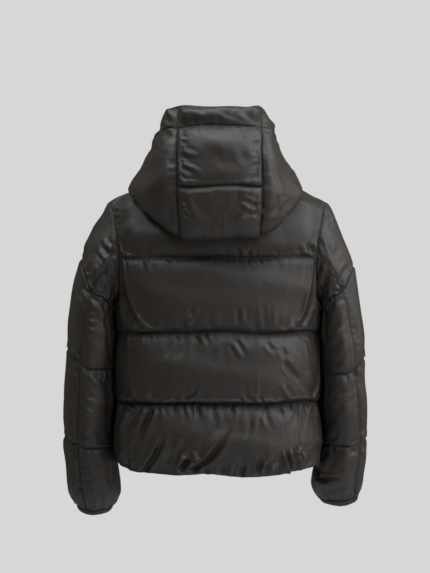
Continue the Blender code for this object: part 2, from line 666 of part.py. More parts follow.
def zip_path(jacket):
    """Middle line of the zip in the YZ plane, hem to rim, half way through the edges."""
    def edge_line(region, column):
        grid, direction = jacket.regions[region], jacket.directions[region]
        return (grid[:, column] + direction[:, column] * SEAM_WALL / 2)[:, 1:]
    front = edge_line("front_left", -1)[::-1]
    hood = edge_line("hood", 0)
    return np.vstack((front, hood[1:]))


def point_on_path(path, z):
    return np.array((np.interp(z, path[:, 1], path[:, 0]), z))


def path_between(path, low, high):
    """The path's own points between two heights, with its ends cut there."""
    inside = [point for point in path if low + PATH_STEP < point[1] < high - PATH_STEP]
    return np.array([point_on_path(path, low), *inside, point_on_path(path, high)])


def strip_solid(name, path, x_range, half_wall, finish):
    """A flat strip that follows the path, between two X values."""
    tangent = np.gradient(path, axis=0)
    outward = np.column_stack((-tangent[:, 1], tangent[:, 0]))
    outward /= np.linalg.norm(outward, axis=1, keepdims=True)
    vertices = []
    for (y, z), (out_y, out_z) in zip(path, outward):
        for x, share in ((x_range[0], -1), (x_range[1], -1), (x_range[1], 1), (x_range[0], 1)):
            vertices.append((x, y + out_y * half_wall * share, z + out_z * half_wall * share))
    faces = [(0, 1, 2, 3), tuple(len(vertices) - 4 + k for k in range(4))]
    for i in range(len(path) - 1):
        for k in range(4):
            a, b = i * 4 + k, i * 4 + (k + 1) % 4
            faces.append((a, b, b + 4, a + 4))
    return add_object(name, vertices, faces, finish)


def block(name, low, high, finish):
    """A box between two corners in its own frame."""
    corners = [(x, y, z) for x in (low[0], high[0]) for y in (low[1], high[1]) for z in (low[2], high[2])]
    faces = [(0, 1, 3, 2), (4, 6, 7, 5), (0, 4, 5, 1), (2, 3, 7, 6), (0, 2, 6, 4), (1, 5, 7, 3)]
    return add_object(name, corners, faces, finish)


def fuse(target, parts):
    """Joins other solids into the target with exact unions, then removes them."""
    for part in parts:
        union = target.modifiers.new("join", "BOOLEAN")
        union.operation = "UNION"
        union.object = part
        part.hide_render = True
        part.display_type = "WIRE"


def zip_frame(path, z):
    """Frame on the zip: X across, Y out of the jacket, Z up along the zip."""
    here = point_on_path(path, z)
    ahead = point_on_path(path, z + PATH_STEP) - point_on_path(path, z - PATH_STEP)
    up = Vector((0, *ahead)).normalized()
    outward = Vector((0, -up.z, up.y))
    across = outward.cross(up)
    turn = Matrix((across, outward, up)).transposed().to_4x4()
    return Matrix.Translation((0, *here)) @ turn


def zip_slider(path, finish):
    """Two plates joined above the chain's end, with an arch for the pull."""
    arch_low, arch_high = PLATE_OUTER - OVERLAP, ARCH_TOP[0] + OVERLAP
    parts = [
        block("slider_front_plate", (-PLATE_HALF_WIDTH, PLATE_INNER, -PLATE_HALF_LENGTH),
              (PLATE_HALF_WIDTH, PLATE_OUTER, PLATE_HALF_LENGTH), finish),
        block("slider_post", (-POST_HALF_WIDTH, OVERLAP - PLATE_OUTER, POST_BOTTOM),
              (POST_HALF_WIDTH, PLATE_OUTER - OVERLAP, PLATE_HALF_LENGTH - OVERLAP), finish),
        block("slider_arch_foot", (-ARCH_HALF_WIDTH, arch_low, ARCH_FOOT[0]),
              (ARCH_HALF_WIDTH, arch_high, ARCH_FOOT[1]), finish),
        block("slider_arch_head", (-ARCH_HALF_WIDTH, arch_low, ARCH_HEAD[0]),
              (ARCH_HALF_WIDTH, arch_high, ARCH_HEAD[1]), finish),
        block("slider_arch_top", (-ARCH_HALF_WIDTH - OVERLAP, ARCH_TOP[0], ARCH_FOOT[0] - OVERLAP),
              (ARCH_HALF_WIDTH + OVERLAP, ARCH_TOP[1], ARCH_HEAD[1] + OVERLAP), finish),
    ]
    slider = block("zip_slider", (-PLATE_HALF_WIDTH, -PLATE_OUTER, -PLATE_HALF_LENGTH),
                   (PLATE_HALF_WIDTH, -PLATE_INNER, PLATE_HALF_LENGTH), finish)
    fuse(slider, parts)
    frame = zip_frame(path, SLIDER_Z)
    for piece in (slider, *parts):
        piece.matrix_world = frame


def zip_pull(path, finish):
    """Pull tab with its bar through the slider's arch; its origin is the hinge axis."""
    axis = zip_frame(path, SLIDER_Z) @ Vector((0, BAR_PLACE[1], BAR_PLACE[0]))
    tip = zip_frame(path, axis.z - PULL_LENGTH) @ Vector((0, PULL_STAND_OFF, 0))
    down = (tip - axis).normalized()
    outward = Vector((0, down.z, -down.y))
    turn = Matrix((Vector((-1, 0, 0)), outward, -down)).transposed().to_4x4()
    inner, outer = PULL_EYE
    eye_low, eye_high, eye_half = -PULL_PLATE_TOP - OVERLAP, BAR_HALF, PULL_HALF_WALL - OVERLAP / 2
    parts = [
        block("pull_eye_left", (inner, -eye_half, eye_low), (outer, eye_half, eye_high), finish),
        block("pull_eye_right", (-outer, -eye_half, eye_low), (-inner, eye_half, eye_high), finish),
        block("pull_bar", (-inner - OVERLAP, -BAR_HALF, -BAR_HALF),
              (inner + OVERLAP, BAR_HALF, BAR_HALF - OVERLAP), finish),
    ]
    plate = block("zip_pull", (-PULL_HALF_WIDTH, -PULL_HALF_WALL, -PULL_LENGTH),
                  (PULL_HALF_WIDTH, PULL_HALF_WALL, -PULL_PLATE_TOP), finish)
    fuse(plate, parts)
    for piece in (plate, *parts):
        piece.matrix_world = Matrix.Translation(axis) @ turn


def zip_parts(jacket, tape_finish, metal_finish):
    """Tapes, chain, bottom box, slider with its pull, and the top stops."""
    path = zip_path(jacket)
    tape_path = path_between(path, ZIP_BOTTOM_Z, TAPE_TOP_Z)
    strip_solid("zip_tape_left", tape_path, (TAPE_INNER_X, TAPE_OUTER_X), TAPE_HALF_WALL, tape_finish)
    strip_solid("zip_tape_right", tape_path, (-TAPE_OUTER_X, -TAPE_INNER_X), TAPE_HALF_WALL, tape_finish)
    chain_bottom = ZIP_BOTTOM_Z + BOTTOM_BOX_LENGTH
    chain_width = (-CHAIN_HALF_WIDTH, CHAIN_HALF_WIDTH)
    chain_path = path_between(path, chain_bottom, SLIDER_Z + POST_BOTTOM - SEAM_GAP)
    strip_solid("zip_chain", chain_path, chain_width, CHAIN_HALF_WALL, metal_finish)
    box_path = path_between(path, ZIP_BOTTOM_Z, chain_bottom - SEAM_GAP)
    strip_solid("zip_bottom_box", box_path, chain_width, 2 * CHAIN_HALF_WALL, metal_finish)
    zip_slider(path, metal_finish)
    zip_pull(path, metal_finish)
    stop_width, stop_wall, stop_length = STOP_SIZE
    stop_low = TAPE_HALF_WALL + SEAM_GAP
    for side, sign in (("left", 1), ("right", -1)):
        x_low, x_high = sorted((-sign * TAPE_INNER_X, -sign * (TAPE_INNER_X + stop_width)))
        stop = block(f"zip_top_stop_{side}", (x_low, stop_low, -stop_length / 2),
                     (x_high, stop_low + stop_wall, stop_length / 2), metal_finish)
        stop.matrix_world = zip_frame(path, SLIDER_Z + PLATE_HALF_LENGTH + STOP_ABOVE_SLIDER)


def main():
    for old in list(bpy.data.objects):
        bpy.data.objects.remove(old)
    shell = material("glossy nylon shell", SHELL_COLOUR, 0.36)
    tape = material("zip tape", TAPE_COLOUR, 0.8)
    metal = material("gunmetal zip", METAL_COLOUR, 0.35, 0.9)
    jacket = Jacket()
    body_panels(jacket, shell)
    sleeve_panels(jacket, "left", LEFT_RINGS, shell)
    sleeve_panels(jacket, "right", RIGHT_RINGS, shell)
    hood_panels(jacket, shell)
    zip_parts(jacket, tape, metal)


main()
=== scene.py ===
import math

import bpy
import numpy as np
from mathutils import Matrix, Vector


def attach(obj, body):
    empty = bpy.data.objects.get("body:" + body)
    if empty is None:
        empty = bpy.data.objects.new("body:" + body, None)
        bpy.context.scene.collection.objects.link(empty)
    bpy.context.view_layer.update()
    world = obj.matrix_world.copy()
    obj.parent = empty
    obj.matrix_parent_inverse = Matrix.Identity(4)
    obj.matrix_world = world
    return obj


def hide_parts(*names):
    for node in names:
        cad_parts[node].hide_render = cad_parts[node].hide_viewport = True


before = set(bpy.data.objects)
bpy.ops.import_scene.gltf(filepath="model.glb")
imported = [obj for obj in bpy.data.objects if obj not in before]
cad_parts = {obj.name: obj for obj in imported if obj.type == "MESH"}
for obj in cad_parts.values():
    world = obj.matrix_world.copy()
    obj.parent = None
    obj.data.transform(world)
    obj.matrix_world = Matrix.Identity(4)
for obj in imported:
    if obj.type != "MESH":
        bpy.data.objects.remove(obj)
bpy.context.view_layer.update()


# Camera, straight at the back

view = {
    "aim": (0.00624, 0.13, -0.2257),
    "distance": 5.0,
    "metresHigh": 1.19184,      # seen at the aim's distance
    "sensor": 24.0,
}


def placeCamera():
    camera = bpy.data.cameras.new("camera")
    camera.sensor_fit = "VERTICAL"
    camera.sensor_height = view["sensor"]
    camera.lens = view["sensor"] * view["distance"] / view["metresHigh"]
    holder = bpy.data.objects.new("camera", camera)
    x, y, z = view["aim"]
    holder.location = (x, y + view["distance"], z)
    holder.rotation_euler = (math.radians(90), 0, math.radians(180))
    bpy.context.scene.collection.objects.link(holder)
    bpy.context.scene.camera = holder


placeCamera()
print("camera placed")


# Sizes of the cut, in metres

wall = {
    "seam": 0.004, "edge": 0.007,           # thickness at the stitching, and at the hood's rim
    "yokePuff": 0.019, "bodyPuff": 0.024, "sleevePuff": 0.014, "armpitPuff": 0.0055,
    "hoodPuff": 0.022, "hoodUnderPuff": 0.010, "bandPuff": 0.016,
    "roundness": 0.55, "bodyRoundness": 0.40, "bandRoundness": 0.6,     # lower is boxier
    "sag": 1.22, "yokeSlope": 1.2, "squareness": 0.88,
    "riseCurve": 2.2, "bodyReach": 0.05, "zipReach": 0.03, "sleeveReach": 0.03,
    "hoodReach": 0.042, "hoodZipReach": 0.04, "bandReach": 0.03,        # padding rises over these
    "sleeveSeamShare": 0.3, "hoodSeamShare": 0.72, "hoodCrossShare": 0.75, "hoodNotch": 0.62,
    "besideNotch": 0.94, "bandSideShare": 0.7, "rimSeamShare": 0.6,     # shares kept at the seams
    "mitreLimit": 1.5, "turnFade": 0.03,
}
tierCount = 4
neck = {"back": (0.070, 0.008), "sideX": 0.078, "front": (-0.095, -0.055), "zipX": 0.0115}
shoulder = {"tip": (0.224, 0.0, -0.047), "arch": 0.009}
columnCounts = {"neckBack": 6, "neckFront": 5, "shoulderBack": 4, "shoulderFront": 5, "hoodCentre": 3}
yokeShares = (1.0, 0.78, 0.42, 0.12, 0.0)
armholeShares = (0.0, 0.08, 0.26, 0.48, 0.70)
yokeRise = {"neckBack": 62.0, "neckFront": 50.0, "shoulder": 90.0}

#  at    edgeZ   backX   backY  frontX  frontY  wrap  backZ   backD  frontZ  frontD
torsoRows = (
    (0.00, -0.165, 0.2060, 0.078, 0.1970, -0.075, 58.0, -0.162, 0.116, -0.162, 0.122),
    (0.36, -0.228, 0.2050, 0.056, 0.1990, -0.054, 70.0, -0.220, 0.121, -0.219, 0.132),
    (0.70, -0.277, 0.2045, 0.000, 0.2045, 0.0000, 90.0, -0.274, 0.124, -0.273, 0.136),
    (1.00, -0.321, 0.2055, 0.000, 0.2055, 0.0000, 90.0, -0.322, 0.125, -0.320, 0.136),
    (1.50, -0.394, 0.2045, 0.000, 0.2045, 0.0000, 90.0, -0.396, 0.126, -0.394, 0.135),
    (2.00, -0.466, 0.2070, 0.000, 0.2070, 0.0000, 90.0, -0.470, 0.125, -0.466, 0.132),
    (2.50, -0.532, 0.2085, 0.000, 0.2085, 0.0000, 90.0, -0.546, 0.125, -0.534, 0.130),
    (3.00, -0.597, 0.2060, 0.000, 0.2060, 0.0000, 90.0, -0.620, 0.117, -0.600, 0.122),
)
#  at   outerX  outerZ  sideZ   innerX  innerZ  middleY halfY backSeam frontSeam
leftRings = (
    (0.5, 0.2590, -0.108, -0.200, 0.2200, -0.279, 0.000, 0.078, 88.0, 88.0),
    (1.0, 0.2880, -0.168, -0.243, 0.2220, -0.293, 0.000, 0.073, 76.0, 82.0),
    (2.0, 0.3205, -0.360, -0.400, 0.2210, -0.398, -0.004, 0.067, 66.0, 76.0),
    (3.0, 0.3265, -0.545, -0.570, 0.2250, -0.566, -0.024, 0.060, 67.0, 76.0),
    (3.7, 0.3145, -0.656, -0.664, 0.2170, -0.660, -0.040, 0.056, 66.0, 76.0),
    (4.0, 0.3000, -0.692, -0.700, 0.2300, -0.697, -0.046, 0.035, 66.0, 76.0),
)
rightRings = (
    (0.5, 0.2510, -0.110, -0.200, 0.2200, -0.279, 0.000, 0.078, 88.0, 88.0),
    (1.0, 0.2845, -0.184, -0.243, 0.2220, -0.293, 0.000, 0.073, 80.0, 82.0),
    (2.0, 0.3085, -0.379, -0.410, 0.2210, -0.418, -0.008, 0.066, 60.0, 74.0),
    (3.0, 0.3125, -0.553, -0.566, 0.2250, -0.558, -0.036, 0.060, 52.0, 72.0),
    (3.7, 0.3040, -0.641, -0.648, 0.2100, -0.646, -0.056, 0.056, 48.0, 72.0),
    (4.0, 0.2985, -0.674, -0.684, 0.2240, -0.684, -0.062, 0.035, 46.0, 72.0),
)
ringBend = {"outer": 1.5, "inner": 2.0, "outerLoss": 0.45, "innerLoss": 0.50}
hoodDirections = (0.0, 26.0, 55.0, 90.0, 180.0)
#  at    seamX  backR  backZ   seamR   seamZ   cornerR cornerZ sideR   sideZ  frontR  frontZ
hoodRings = (
    (0.00, 0.055, 0.070, 0.008, 0.0710, 0.0070, 0.0735, 0.0045, 0.0780, 0.000, 0.0957, -0.055),
    (0.25, 0.058, 0.079, 0.036, 0.0800, 0.0360, 0.0830, 0.0340, 0.0880, 0.028, 0.1030, -0.038),
    (0.50, 0.064, 0.104, 0.024, 0.1050, 0.0250, 0.1090, 0.0270, 0.1140, 0.027, 0.1080, -0.022),
    (0.75, 0.072, 0.134, -0.038, 0.1370, -0.034, 0.1420, -0.004, 0.1370, 0.017, 0.1110, -0.010),
    (1.00, 0.080, 0.154, -0.093, 0.1620, -0.094, 0.1730, -0.038, 0.1530, 0.009, 0.1125, 0.0020),
    (1.25, 0.084, 0.171, -0.114, 0.1800, -0.119, 0.1920, -0.054, 0.1620, 0.008, 0.1130, 0.0100),
    (1.50, 0.084, 0.189, -0.093, 0.1970, -0.097, 0.1990, -0.041, 0.1610, 0.015, 0.1130, 0.0180),
    (2.00, 0.084, 0.205, -0.021, 0.2080, -0.021, 0.1900, 0.0000, 0.1410, 0.035, 0.1125, 0.0340),
    (2.50, 0.084, 0.201, 0.0450, 0.2000, 0.0450, 0.1620, 0.0480, 0.1180, 0.062, 0.1110, 0.0500),
    (3.00, 0.084, 0.183, 0.1040, 0.1800, 0.1030, 0.1420, 0.0970, 0.1040, 0.087, 0.1085, 0.0640),
    (3.50, 0.084, 0.173, 0.1290, 0.1680, 0.1270, 0.1310, 0.1190, 0.0970, 0.105, 0.1050, 0.0760),
    (4.00, 0.084, 0.159, 0.1440, 0.1530, 0.1420, 0.1210, 0.1340, 0.0920, 0.119, 0.1010, 0.0860),
)
hoodLean = {
    "middle": -0.0035, "sides": 0.0055, "rimTilt": 0.05, "behind": (-0.04, 0.06), "out": (0.084, 0.066),
}
hoodSidePuff = (
    (0.0, 0.0), (0.3, 0.04), (0.6, 0.2), (1.0, 0.3), (1.6, 0.8), (2.3, 1.0), (2.7, 0.7), (3.0, 0.0),
)

# Cells of the fine cloth between the cut's own rows and columns
cells = {
    "yoke": (9, 13, 11, 5), "armhole": (5, 7, 8, 8), "lowerChest": 9, "waist": 28, "hem": 30,
    "backColumn": 6, "frontColumn": 4, "sleeveTiers": (42, 36, 36, 26),
    "hoodTiers": (24, 26, 28, 10), "hoodCentreColumn": 6, "hoodSideColumn": 7,
}


# Curves and surfaces of the lining side

def smooth(knots, values, at):
    # monotone cubic through the knots
    knots, values = np.asarray(knots, float), np.asarray(values, float)
    steps = np.diff(knots).reshape((-1,) + (1,) * (values.ndim - 1))
    rates = np.diff(values, axis=0) / steps
    slopes = np.empty_like(values)
    slopes[0], slopes[-1] = rates[0], rates[-1]
    product, total = rates[:-1] * rates[1:], rates[:-1] + rates[1:]
    slopes[1:-1] = np.where(product > 0, 2 * product / np.where(product > 0, total, 1), 0)
    found = []
    for place in np.atleast_1d(at):
        k = int(np.clip(np.searchsorted(knots, place, side="right") - 1, 0, len(knots) - 2))
        step = knots[k + 1] - knots[k]
        t = (place - knots[k]) / step
        found.append((1 + 2 * t) * (1 - t) ** 2 * values[k] + t * (1 - t) ** 2 * step * slopes[k]
                     + t * t * (3 - 2 * t) * values[k + 1] + t * t * (t - 1) * step * slopes[k + 1])
    return np.array(found)


def readTable(table, at):
    table = np.array(table)
    return smooth(table[:, 0], table[:, 1:], at)


def divided(stops, counts):
    # even steps between the stops
    parts = [np.linspace(a, b, n + 1)[:-1] for a, b, n in zip(stops[:-1], stops[1:], counts)]
    return np.concatenate(parts + [[stops[-1]]])


def neckPoints(places):
    # half the neck seam; place counts the cut's columns from the middle of the back
    back = columnCounts["neckBack"]
    turn = np.radians(90) * np.where(places <= back, places / back,
                                     (places - back) / columnCounts["neckFront"])
    onBack = places <= back
    x = np.where(onBack, neck["sideX"] * np.sin(turn),
                 neck["zipX"] + (neck["sideX"] - neck["zipX"]) * np.cos(turn))
    y = np.where(onBack, neck["back"][0] * np.cos(turn), neck["front"][0] * np.sin(turn))
    z = np.where(onBack, neck["back"][1] * np.cos(turn), neck["front"][1] * (1 - np.cos(turn)))
    return np.stack((x, y, z), axis=1)


def shoulderPoints(shares):
    tip = shoulder["tip"]
    x = neck["sideX"] + (tip[0] - neck["sideX"]) * shares
    z = tip[2] * shares + shoulder["arch"] * np.sin(np.pi * shares)
    return np.stack((x, np.full(len(shares), tip[1]), z), axis=1)


def torsoRow(middle, edge, wrap, shares):
    wrap = math.radians(wrap)
    turn = wrap * shares
    across = (np.sin(turn) / math.sin(wrap)) ** wall["squareness"]
    inward = np.clip((np.cos(turn) - math.cos(wrap)) / (1 - math.cos(wrap)), 0, 1) ** wall["squareness"]
    return np.stack((middle[0] + (edge[0] - middle[0]) * across,
                     edge[1] + (middle[1] - edge[1]) * inward,
                     middle[2] + (edge[2] - middle[2]) * shares ** 2), axis=1)


def torsoHalf(isFront):
    neckColumns = columnCounts["neckFront" if isFront else "neckBack"]
    shoulderColumns = columnCounts["shoulderFront" if isFront else "shoulderBack"]
    total = neckColumns + shoulderColumns
    perColumn = cells["frontColumn" if isFront else "backColumn"]
    places = np.linspace(0, total, total * perColumn + 1)
    onNeck = places <= neckColumns
    if isFront:
        top = neckPoints(columnCounts["neckBack"] + neckColumns - places[onNeck])
    else:
        top = neckPoints(places[onNeck])
    top = np.vstack((top, shoulderPoints((places[~onNeck] - neckColumns) / shoulderColumns)))
    downPlaces = np.concatenate((
        divided(armholeShares, cells["armhole"]),
        np.linspace(armholeShares[-1], 1, cells["lowerChest"] + 1)[1:],
        np.linspace(1, 2, cells["waist"] + 1)[1:], np.linspace(2, 3, cells["hem"] + 1)[1:]))
    lower = []
    for row in readTable(torsoRows, downPlaces):
        edgeZ, backX, backY, frontX, frontY, wrap, backZ, backD, frontZ, frontD = row
        if isFront:
            middle, edge = (neck["zipX"], -frontD, frontZ), (frontX, frontY, edgeZ)
        else:
            middle, edge = (0.0, backD, backZ), (backX, backY, edgeZ)
        lower.append(torsoRow(middle, edge, wrap, places / total))
    riseMiddle = yokeRise["neckFront" if isFront else "neckBack"]
    outward = np.clip(places / neckColumns, 0, 1)
    turn = np.radians(riseMiddle + (yokeRise["shoulder"] - riseMiddle) * outward)
    upper = []
    for share in divided(yokeShares, cells["yoke"])[:-1]:
        ahead = (np.cos(turn * share) - np.cos(turn)) / (1 - np.cos(turn))
        up = np.sin(turn * share) / np.sin(turn)
        seam = lower[0]
        upper.append(np.stack((seam[:, 0] + (top[:, 0] - seam[:, 0]) * share,
                               top[:, 1] + (seam[:, 1] - top[:, 1]) * ahead,
                               seam[:, 2] + (top[:, 2] - seam[:, 2]) * up), axis=1))
    return np.array(upper + lower)


def mirrored(grid):
    return grid[:, ::-1] * np.array((-1, 1, 1))


def ringTurns(backSeam, frontSeam):
    # back seam, outer point, front seam, inner point, back seam
    upper = divided(np.linspace(0, 1, 5), cells["yoke"])        # from the shoulder down
    under = divided(np.linspace(0, 1, 5), cells["armhole"])
    turns = [backSeam * upper[::-1][:-1], -frontSeam * upper[:-1],
             -frontSeam - (180 - frontSeam) * under[:-1],
             -180 - (180 - backSeam) * (1 - under[::-1][:-1])]
    return np.radians(np.concatenate(turns))


def leftSleeve(backHalf, frontHalf, rings):
    shoulderRows, armholeRows = sum(cells["yoke"]), sum(cells["yoke"]) + sum(cells["armhole"])
    back, front = backHalf[:armholeRows + 1, -1], frontHalf[:armholeRows + 1, -1]
    armhole = np.vstack((back[shoulderRows:0:-1], front[:armholeRows], back[armholeRows:shoulderRows:-1]))
    loops = [armhole]
    for _, outerX, outerZ, sideZ, innerX, innerZ, middleY, halfY, backSeam, frontSeam in rings:
        turn = ringTurns(backSeam, frontSeam)
        out = np.cos(turn)
        z = (sideZ + (outerZ - sideZ) * np.clip(out, 0, 1) ** ringBend["outer"]
             + (innerZ - sideZ) * np.clip(-out, 0, 1) ** ringBend["inner"])
        x = (outerX + innerX) / 2 + (outerX - innerX) / 2 * out
        loops.append(np.stack((x, middleY + halfY * np.sin(turn), z), axis=1))
    knots = [0.0] + [ring[0] for ring in rings]
    return smooth(knots, np.array(loops), divided(range(5), cells["sleeveTiers"]))


def hoodRadius(ring, angles):
    # radius and height at angles from the middle of the back
    directions = np.array(hoodDirections)
    stations = np.concatenate((-directions[:0:-1], directions, 360 - directions[-2::-1]))
    sections = np.array(ring[1:]).reshape(-1, 2)
    sections = np.vstack((sections[:0:-1], sections, sections[-2::-1]))
    return smooth(stations, sections, angles)


def hoodHalf():
    places = divided(range(5), cells["hoodTiers"])
    centre = columnCounts["hoodCentre"]
    side = columnCounts["neckBack"] + columnCounts["neckFront"] - centre
    centrePlaces = np.linspace(0, 1, centre * cells["hoodCentreColumn"] + 1)
    sidePlaces = np.linspace(0, 1, side * cells["hoodSideColumn"] + 1)
    columns = np.concatenate((centrePlaces[:-1] * centre, centre + sidePlaces * side))
    rows = []
    for ring in readTable(hoodRings, places):
        seam = math.degrees(math.asin(ring[0] / ring[1]))
        for _ in range(3):
            seam = math.degrees(math.asin(ring[0] / hoodRadius(ring, [seam])[0][0]))
        zipAngle = 180 - math.degrees(math.asin(neck["zipX"] / ring[-2]))
        angles = np.concatenate((seam * centrePlaces[:-1], seam + (zipAngle - seam) * sidePlaces))
        radius, z = hoodRadius(ring, angles).T
        turn = np.radians(angles)
        rows.append(np.stack((radius * np.sin(turn), radius * np.cos(turn), z), axis=1))
    grid = np.array(rows)
    fade = np.clip(1 - places / 0.2, 0, 1)                  # the first rows meet the neck seam
    return grid + (neckPoints(columns) - grid[0]) * fade[:, None, None], places


def ease(value):
    value = np.clip(value, 0, 1)
    return value * value * (3 - 2 * value)


def easeFrom(value, start, reach):
    # 0 up to the start, 1 a reach past it
    return ease((value - start) / reach)


def leaned(grid, places):
    # the hood settled unevenly
    x, y, places = grid[:, :, 0], grid[:, :, 1], places[:, None]
    behind, out = easeFrom(y, *hoodLean["behind"]), easeFrom(np.abs(x), *hoodLean["out"])
    moved = grid.copy()
    shift = hoodLean["middle"] + (hoodLean["sides"] - hoodLean["middle"]) * out
    moved[:, :, 0] += shift * ease(places) * behind
    moved[:, :, 2] += hoodLean["rimTilt"] * x * ease(places - 3) * behind
    return moved


# Directions in which the padding grows

def gridNormals(grid, isClosed):
    if isClosed:
        along = np.roll(grid, -1, axis=1) - np.roll(grid, 1, axis=1)
    else:
        along = np.gradient(grid, axis=1)
    normals = np.cross(along, np.gradient(grid, axis=0))
    return normals / np.maximum(np.linalg.norm(normals, axis=2, keepdims=True), 1e-12)


def fadeFrom(grid, border):
    away = np.linalg.norm(grid - border, axis=2, keepdims=True)
    return np.clip(1 - away / wall["turnFade"], 0, 1) ** 2


def sharedDirections(grids):
    # unit normals, turned near each border to what the pieces sewn there agree on
    names = list(grids)
    normals = {name: gridNormals(grids[name], name.startswith("sleeve")) for name in names}
    points = np.vstack([grids[name].reshape(-1, 3) for name in names])
    every = np.vstack([normals[name].reshape(-1, 3) for name in names])
    _, same = np.unique(np.round(points * 1e5).astype(int), axis=0, return_inverse=True)
    same = same.ravel()
    total = np.zeros((same.max() + 1, 3))
    np.add.at(total, same, every)
    count = np.bincount(same)[:, None]
    length = np.linalg.norm(total, axis=1, keepdims=True)
    agreed = (total / length * np.minimum(wall["mitreLimit"], count / length))[same]
    directions, first = {}, 0
    for name in names:
        own = normals[name]
        rows, columns = own.shape[:2]
        target = agreed[first:first + rows * columns].reshape(own.shape)
        first += rows * columns
        turned = own.copy()
        for border in (0, -1):
            turned += (target[border] - own[border]) * fadeFrom(grids[name], grids[name][border])
            if not name.startswith("sleeve"):
                fade = fadeFrom(grids[name], grids[name][:, border][:, None])
                turned += (target[:, border] - own[:, border])[:, None] * fade
        turned[0], turned[-1] = target[0], target[-1]
        if not name.startswith("sleeve"):
            turned[:, 0], turned[:, -1] = target[:, 0], target[:, -1]
        directions[name] = turned
    return directions


def domed(share):
    # rises steeply at first, then levels off
    return 1 - (1 - np.clip(share, 0, 1)) ** wall["riseCurve"]


def riseFromSides(grid, reachFirst, reachLast):
    # 0 at a side edge, 1 a reach away from it; each row by its own lengths
    step = np.linalg.norm(np.diff(grid, axis=1), axis=2)
    run = np.concatenate((np.zeros((len(grid), 1)), np.cumsum(step, axis=1)), axis=1)
    rise = np.ones(run.shape)
    for distance, reach in ((run, reachFirst), (run[:, -1:] - run, reachLast)):
        rise = np.minimum(rise, np.clip(distance / reach, 0, 1))
    return domed(rise)


def sewnRuns(grid, columns):
    # metres along each row to the nearest of these columns
    run = np.pad(np.cumsum(np.linalg.norm(np.diff(grid, axis=1), axis=2), axis=1), ((0, 0), (1, 0)))
    return np.min([np.abs(run - run[:, column:column + 1]) for column in columns], axis=0)


def tierFullness(shares, power=wall["roundness"]):
    # how full a tier is, at shares of the way down it
    return np.clip(np.sin(np.pi * shares), 0, 1) ** power


def buildGrids():
    backHalf, frontHalf = torsoHalf(False), torsoHalf(True)
    hood, hoodPlaces = hoodHalf()
    right = leftSleeve(backHalf, frontHalf, rightRings)
    grids = {
        "back": np.hstack((mirrored(backHalf), backHalf[:, 1:])),
        "front_left": frontHalf[:, ::-1],
        "front_right": frontHalf * np.array((-1, 1, 1)),
        "sleeve_left": leftSleeve(backHalf, frontHalf, leftRings),
        "sleeve_right": mirrored(np.hstack((right[:, 1:], right[:, :1]))),
        "hood": leaned(np.hstack((hood[:, ::-1], hood[:, 1:] * np.array((-1, 1, 1)))), hoodPlaces),
    }
    return grids, hoodPlaces


grids, hoodPlaces = buildGrids()
directions = sharedDirections(grids)
print("cloth drawn:", {name: grid.shape[:2] for name, grid in grids.items()})


# Seams: rows and columns of each grid where panels meet

bodyTiers = ("yoke", "chest", "waist", "hem")
sleeveTiers = ("shoulder", "elbow", "forearm", "wrist")
hoodTiers = ("under", "lower", "upper")
bodyStops = np.cumsum([0, sum(cells["yoke"]), sum(cells["armhole"]) + cells["lowerChest"],
                       cells["waist"], cells["hem"]])
sleeveStops = np.cumsum((0,) + cells["sleeveTiers"])
hoodStops = np.cumsum((0,) + cells["hoodTiers"])
upperCells, underCells = 2 * sum(cells["yoke"]), 2 * sum(cells["armhole"])


def stopsOf(region):
    return {"sleeve": sleeveStops, "hood": hoodStops}.get(region, bodyStops)


def hoodSeams():
    middle = grids["hood"].shape[1] // 2
    half = columnCounts["hoodCentre"] * cells["hoodCentreColumn"]
    return middle - half, middle + half


def sleeveStart(side):
    # first column of the upper sleeve
    columns = grids["sleeve_left"].shape[1]
    return 0 if side == "left" else columns - 1 - upperCells


def tierSpan(stops, tier):
    # a tier's rows, and how far down the tier each one is
    first, last = stops[tier], stops[tier + 1]
    return slice(first, last + 1), np.linspace(0, 1, last - first + 1)


def bodyThickness(name):
    puff = np.zeros(len(grids[name]))
    for tier in range(tierCount):
        span, shares = tierSpan(bodyStops, tier)
        if tier == 0:
            full = tierFullness(shares) * np.clip(shares / 0.5, 0, 1) ** wall["yokeSlope"]
            height = wall["yokePuff"]
        else:
            full = tierFullness(shares ** wall["sag"], wall["bodyRoundness"])
            height = wall["bodyPuff"]
        puff[span] = np.maximum(puff[span], full * (height - wall["seam"]))
    besideSeam, besideZip = wall["bodyReach"], wall["zipReach"]
    reaches = {"back": (besideSeam, besideSeam), "front_left": (besideSeam, besideZip),
               "front_right": (besideZip, besideSeam)}[name]
    return wall["seam"] + puff[:, None] * riseFromSides(grids[name], *reaches)


